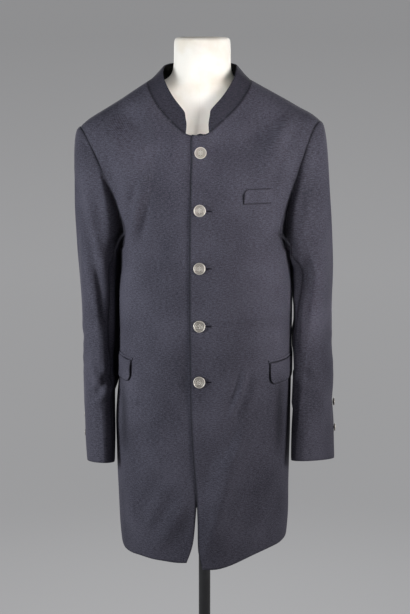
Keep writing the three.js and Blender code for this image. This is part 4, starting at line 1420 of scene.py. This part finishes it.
@dataclass
class DressForm:
    """The limbless form: smooth jersey over a moulded body, with a centre seam and a bound neck edge.

    Attributes:
        jersey: what it is covered with.
        clearance: how far the drawn form lies inside its solid, in millimetres.
        room: least room between form and cloth, in millimetres.
        probe: depth from which the cloth is looked for, in millimetres.
        seam_ends: lowest and highest point of the centre seam in millimetres.
        seam_step: between its points in millimetres.
        seam_line: rows of height and x that it follows in millimetres.
        seam_cord: its radius and how deep its middle lies in the jersey in millimetres.
        neck_middle: x of the neck's middle and height of its binding in millimetres.
        binding_steps: round the neck.
        binding_cord: the same two sizes of the binding.
    """

    jersey: StretchedJersey = StretchedJersey()
    clearance: float = 0.5
    room: float = 1.5
    probe: float = 24.0
    seam_ends: tuple[float, float] = (1300.0, 1566.0)
    seam_step: float = 6.0
    seam_line: Path = ((1470, -6.0), (1510, -4.0))
    seam_cord: tuple[float, float] = (0.6, 0.25)
    neck_middle: tuple[float, float] = (-4.2, 1564.0)
    binding_steps: int = 64
    binding_cord: tuple[float, float] = (0.7, 0.3)

    def clear_cloth(self, mesh: bpy.types.Mesh, pieces: list[ClothPiece]) -> None:
        """Draw the form in where the cloth over it is folded inwards.

        Args:
            mesh: the form's mesh.
            pieces: the cloth that hangs on it.
        """
        walls = [surface(piece.obj) for piece in pieces]
        points = coordinates(mesh)
        deep, whole = self.probe * MM, (self.probe + self.room) * MM
        for i, (p, n) in enumerate(zip(points.copy(), coordinates(mesh, "normal"))):
            hits = [w.ray_cast(Vector(p - n * deep), Vector(n), whole)[3] for w in walls]
            nearest = min((h for h in hits if h is not None), default=None)
            if nearest is not None:
                points[i] -= n * (whole - nearest)
        set_coordinates(mesh, points)

    def build(self, node: bpy.types.Object, pieces: list[ClothPiece]) -> None:
        """Build the form and its seams.

        Args:
            node: the form's solid.
            pieces: the cloth that hangs on it.
        """
        bm = solid_bmesh(node)
        join_quads(bm)
        obj = finish_bmesh(bm, "form_body")
        dense = make_dense(obj, 2)
        set_coordinates(dense, coordinates(dense) - coordinates(dense, "normal") * self.clearance * MM)
        self.clear_cloth(dense, pieces)
        jersey = self.jersey.make()
        hand_over(obj, "form_cover", jersey, node="dress_form")
        bpy.context.view_layer.update()
        skin = surface(obj)
        self.seam("form_front_seam", skin, -1, jersey)
        self.seam("form_back_seam", skin, 1, jersey)
        self.neck_binding(skin, jersey)

    def cord(self, name: str, points: list[Vector], radius: float, closed: bool,
             material: bpy.types.Material) -> None:
        """Lay a fine raised line of cloth along points.

        Args:
            name: the piece's name.
            points: along its middle.
            radius: in millimetres.
            closed: whether it is a ring.
            material: its finish.
        """
        curve = bpy.data.curves.new(name, "CURVE")
        curve.dimensions = "3D"
        curve.bevel_depth = radius * MM
        curve.bevel_resolution = 2
        curve.use_fill_caps = True
        spline = curve.splines.new("POLY")
        spline.points.add(len(points) - 1)
        for spot, p in zip(spline.points, points):
            spot.co = (*p, 1)
        spline.use_cyclic_u = closed
        rough = link(name + "_line", curve)
        mesh = bpy.data.meshes.new_from_object(evaluated(rough))
        bpy.data.objects.remove(rough)
        hand_over(link(name, mesh), "form_cover", material)

    def seam(self, name: str, skin: BVHTree, side: int, material: bpy.types.Material) -> None:
        """Lay the centre seam, which shows as a fine ridge.

        Args:
            name: the piece's name.
            skin: the form's surface.
            side: -1 for the front, 1 for the back.
            material: its finish.
        """
        radius, sink = self.seam_cord
        points = []
        for z in np.arange(*self.seam_ends, self.seam_step):
            x = np.interp(z, *np.array(self.seam_line).T)
            hit, out, _, _ = skin.ray_cast(Vector((x * MM, side * FAR, z * MM)), Vector((0, -side, 0)))
            if hit is not None:
                points.append(hit - out * sink * MM)
        self.cord(name, points, radius, False, material)

    def neck_binding(self, skin: BVHTree, material: bpy.types.Material) -> None:
        """Lay the ring where the neck's cap is sewn on.

        Args:
            skin: the form's surface.
            material: its finish.
        """
        x, z = self.neck_middle
        radius, sink = self.binding_cord
        points = []
        for turn in np.linspace(0, 2 * math.pi, self.binding_steps, endpoint=False):
            way = Vector((math.cos(turn), math.sin(turn), 0))
            hit, out, _, _ = skin.ray_cast(Vector((x, 0, z)) * MM + way * FAR, -way)
            if hit is not None:
                points.append(hit - out * sink * MM)
        self.cord("form_neck_seam", points, radius, True, material)


@dataclass
class Stand:
    """The steel pole and the round base with its hub. Sizes are in millimetres, as in the solids.

    Attributes:
        paint: the finish of both.
        pole_radius: of the pole.
        pole_low: height of its lower end.
        pole_high: height of its upper end.
        base_radius: of the base.
        thick: height of the base at its edge.
        edge: how far the base's corners are cut off.
        hub_radius: of the hub.
        hub_top: height of the hub.
        hub: rows of distance out from the hub's radius and height above the base, up to its neck.
        hub_neck: rows of distance in from the hub's radius and height below its top.
        socket: height of the bottom of the pole's hole.
        socket_gap: between the pole and its hole.
        crown: how far in from the rim the base's top has risen, and by how much.
        corner: radius that its corners are eased with, and the least angle of a corner in degrees.
        steps: round the pole and round the base.
    """

    paint: PowderCoat = PowderCoat()
    pole_radius: float = 12.0
    pole_low: float = 8.3
    pole_high: float = 799.7
    base_radius: float = 200.0
    thick: float = 12.0
    edge: float = 3.0
    hub_radius: float = 28.0
    hub_top: float = 52.0
    hub: Path = ((14, 2), (8, 4.5), (3, 9), (0, 16))
    hub_neck: Path = ((3.5, 10), (6, 3), (9, 0))
    socket: float = 8.0
    socket_gap: float = 0.3
    crown: tuple[float, float] = (60.0, 0.8)
    corner: tuple[float, float] = (0.8, 40.0)
    steps: tuple[int, int] = (48, 96)

    def turned(self, name: str, node: str, outline: list[tuple[float, float]], steps: int,
               paint: bpy.types.Material) -> None:
        """Turn an outline round the upright axis, with its corners eased.

        Args:
            name: the piece's name.
            node: the solid that it stands for.
            outline: rows of radius and height in millimetres.
            steps: round the turn.
            paint: its finish.
        """
        obj = finish_bmesh(spin([(r * MM, h * MM) for r, h in outline], steps, merge=1e-6), name)
        radius, angle = self.corner
        crisp = obj.modifiers.new("corners", "BEVEL")
        crisp.width = radius * MM
        crisp.segments = 2
        crisp.limit_method = "ANGLE"
        crisp.angle_limit = math.radians(angle)
        hand_over(obj, "stand_paint", paint, node=node)

    def build(self) -> None:
        """Build the pole and the base."""
        paint = self.paint.make()
        pole, low, high = self.pole_radius, self.pole_low, self.pole_high
        outline = [(0, low), (pole, low), (pole, high), (0, high)]
        self.turned("stand_pole", "pole", outline, self.steps[0], paint)
        wide, edge, hole = self.base_radius, self.edge, self.pole_radius + self.socket_gap
        outline = [(0, 0), (wide - edge, 0), (wide, edge), (wide, self.thick - edge),
                   (wide - edge, self.thick), (wide - self.crown[0], self.thick + self.crown[1])]
        outline += [(self.hub_radius + out, self.thick + rise) for out, rise in self.hub]
        outline += [(self.hub_radius - inset, self.hub_top - drop) for inset, drop in self.hub_neck]
        outline += [(hole, self.hub_top), (hole, self.socket), (0, self.socket)]
        self.turned("stand_base", "base", outline, self.steps[1], paint)


# ------------------------------------------------------------------ studio


@dataclass(frozen=True)
class Softbox:
    """A square soft light.

    Attributes:
        name: its name.
        place: where it hangs.
        aim: what it points at.
        size: its side.
        power: in watts.
        spread: of its grid, in degrees.
        colour: of its light.
    """

    name: str
    place: Place
    aim: Place
    size: float
    power: float
    spread: float
    colour: str = "#ffffff"

    def hang(self) -> None:
        """Put the light in the scene."""
        data = bpy.data.lights.new(self.name, "AREA")
        data.shape = "SQUARE"
        data.size = self.size
        data.energy = self.power
        data.spread = math.radians(self.spread)
        data.color = linear(self.colour)[:3]
        lamp = link(self.name, data)
        lamp.visible_camera = False
        point_at(lamp, Vector(self.place), Vector(self.aim) - Vector(self.place))


def point_at(obj: bpy.types.Object, place: Vector, way: Vector) -> None:
    """Put a lamp or a camera somewhere and turn it to look along a way."""
    obj.location = place
    obj.rotation_mode = "QUATERNION"
    obj.rotation_quaternion = way.to_track_quat("-Z", "Y")


@dataclass
class Studio:
    """Camera, lights, floor and backdrop.

    Attributes:
        target: what the camera looks at.
        distance: of the camera.
        azimuth: of the camera in degrees, towards the wearer's left.
        elevation: of the camera in degrees.
        lens: its focal length in millimetres.
        paper: what floor and backdrop are covered with.
        reach: radius of the backdrop.
        bend: radius of the curve between floor and backdrop.
        top: height of the backdrop.
        steps: round the backdrop and up its bend.
        haze: colour of the light from all round.
        haze_strength: its radiance.
        lamps: two lamps from the sides, two narrow ones from the front for the neck and the left
            sleeve's inner half, and two from behind.
    """

    target: Place = (0.001, 0.0, 1.040)
    distance: float = 2.9
    azimuth: float = 3.5
    elevation: float = 11.0
    lens: float = 85.0
    paper: Backdrop = Backdrop()
    reach: float = 9.0
    bend: float = 2.5
    top: float = 7.0
    steps: tuple[int, int] = (72, 14)
    haze: str = "#c8ccd4"
    haze_strength: float = 0.07
    lamps: tuple[Softbox, ...] = (
        Softbox("key", (-1.58, -0.78, 1.22), (0, -0.1, 1.06), 0.55, 7.0, 85, "#f4fafe"),
        Softbox("fill", (1.55, -0.88, 1.4), (0, -0.1, 1.3), 0.55, 5.9, 80),
        Softbox("neck_snoot", (0.1, -2.4, 1.75), (0, 0, 1.42), 0.3, 0.2, 14),
        Softbox("sleeve_snoot", (0.7, -2.4, 1.1), (0.178, -0.05, 1.08), 0.12, 0.05, 7),
        Softbox("back_left", (0.9, 2.4, 1.7), (0, 0.1, 1.15), 0.9, 8.0, 100),
        Softbox("back_right", (-1.1, 2.3, 1.5), (0, 0.1, 1.15), 0.9, 10.0, 100),
    )

    def camera(self) -> None:
        """Make the camera."""
        data = bpy.data.cameras.new("camera")
        data.lens = self.lens
        data.sensor_width = 36.0
        cam = link("camera", data)
        a, e = math.radians(self.azimuth), math.radians(self.elevation)
        back = Vector((math.sin(a) * math.cos(e), -math.cos(a) * math.cos(e), math.sin(e)))
        point_at(cam, Vector(self.target) + back * self.distance, -back)
        bpy.context.scene.camera = cam

    def bowl(self) -> None:
        """Make the floor, which curves up into a backdrop on all sides."""
        flat = self.reach - self.bend
        turns = np.linspace(0, math.pi / 2, self.steps[1])
        outline = [(0.0, 0.0), (2.0, 0.0)]
        outline += [(flat + self.bend * math.sin(t), self.bend - self.bend * math.cos(t)) for t in turns]
        outline.append((self.reach, self.top))
        bm = spin(outline, self.steps[0], merge=1e-4, solid=False)
        obj = finish_bmesh(bm, "floor_and_backdrop")
        obj.data.materials.append(self.paper.make())

    def build(self) -> None:
        """Set up the studio."""
        self.camera()
        self.bowl()
        for lamp in self.lamps:
            lamp.hang()
        world = bpy.data.worlds.new("studio")
        world.use_nodes = True
        glow = world.node_tree.nodes["Background"]
        glow.inputs["Color"].default_value = linear(self.haze)
        glow.inputs["Strength"].default_value = self.haze_strength
        bpy.context.scene.world = world
        bpy.context.scene.view_settings.view_transform = "Standard"


def main() -> None:
    """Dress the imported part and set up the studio."""
    logging.basicConfig(level=logging.INFO, format="%(name)s %(message)s")
    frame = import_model()
    nodes = frame["nodes"]
    Studio().build()
    pieces = Coat().build(nodes)
    Fastenings().build(nodes, pieces["front_left"])
    DressForm().build(nodes["dress_form"], list(pieces.values()))
    Stand().build()


if __name__ == "__main__":
    main()
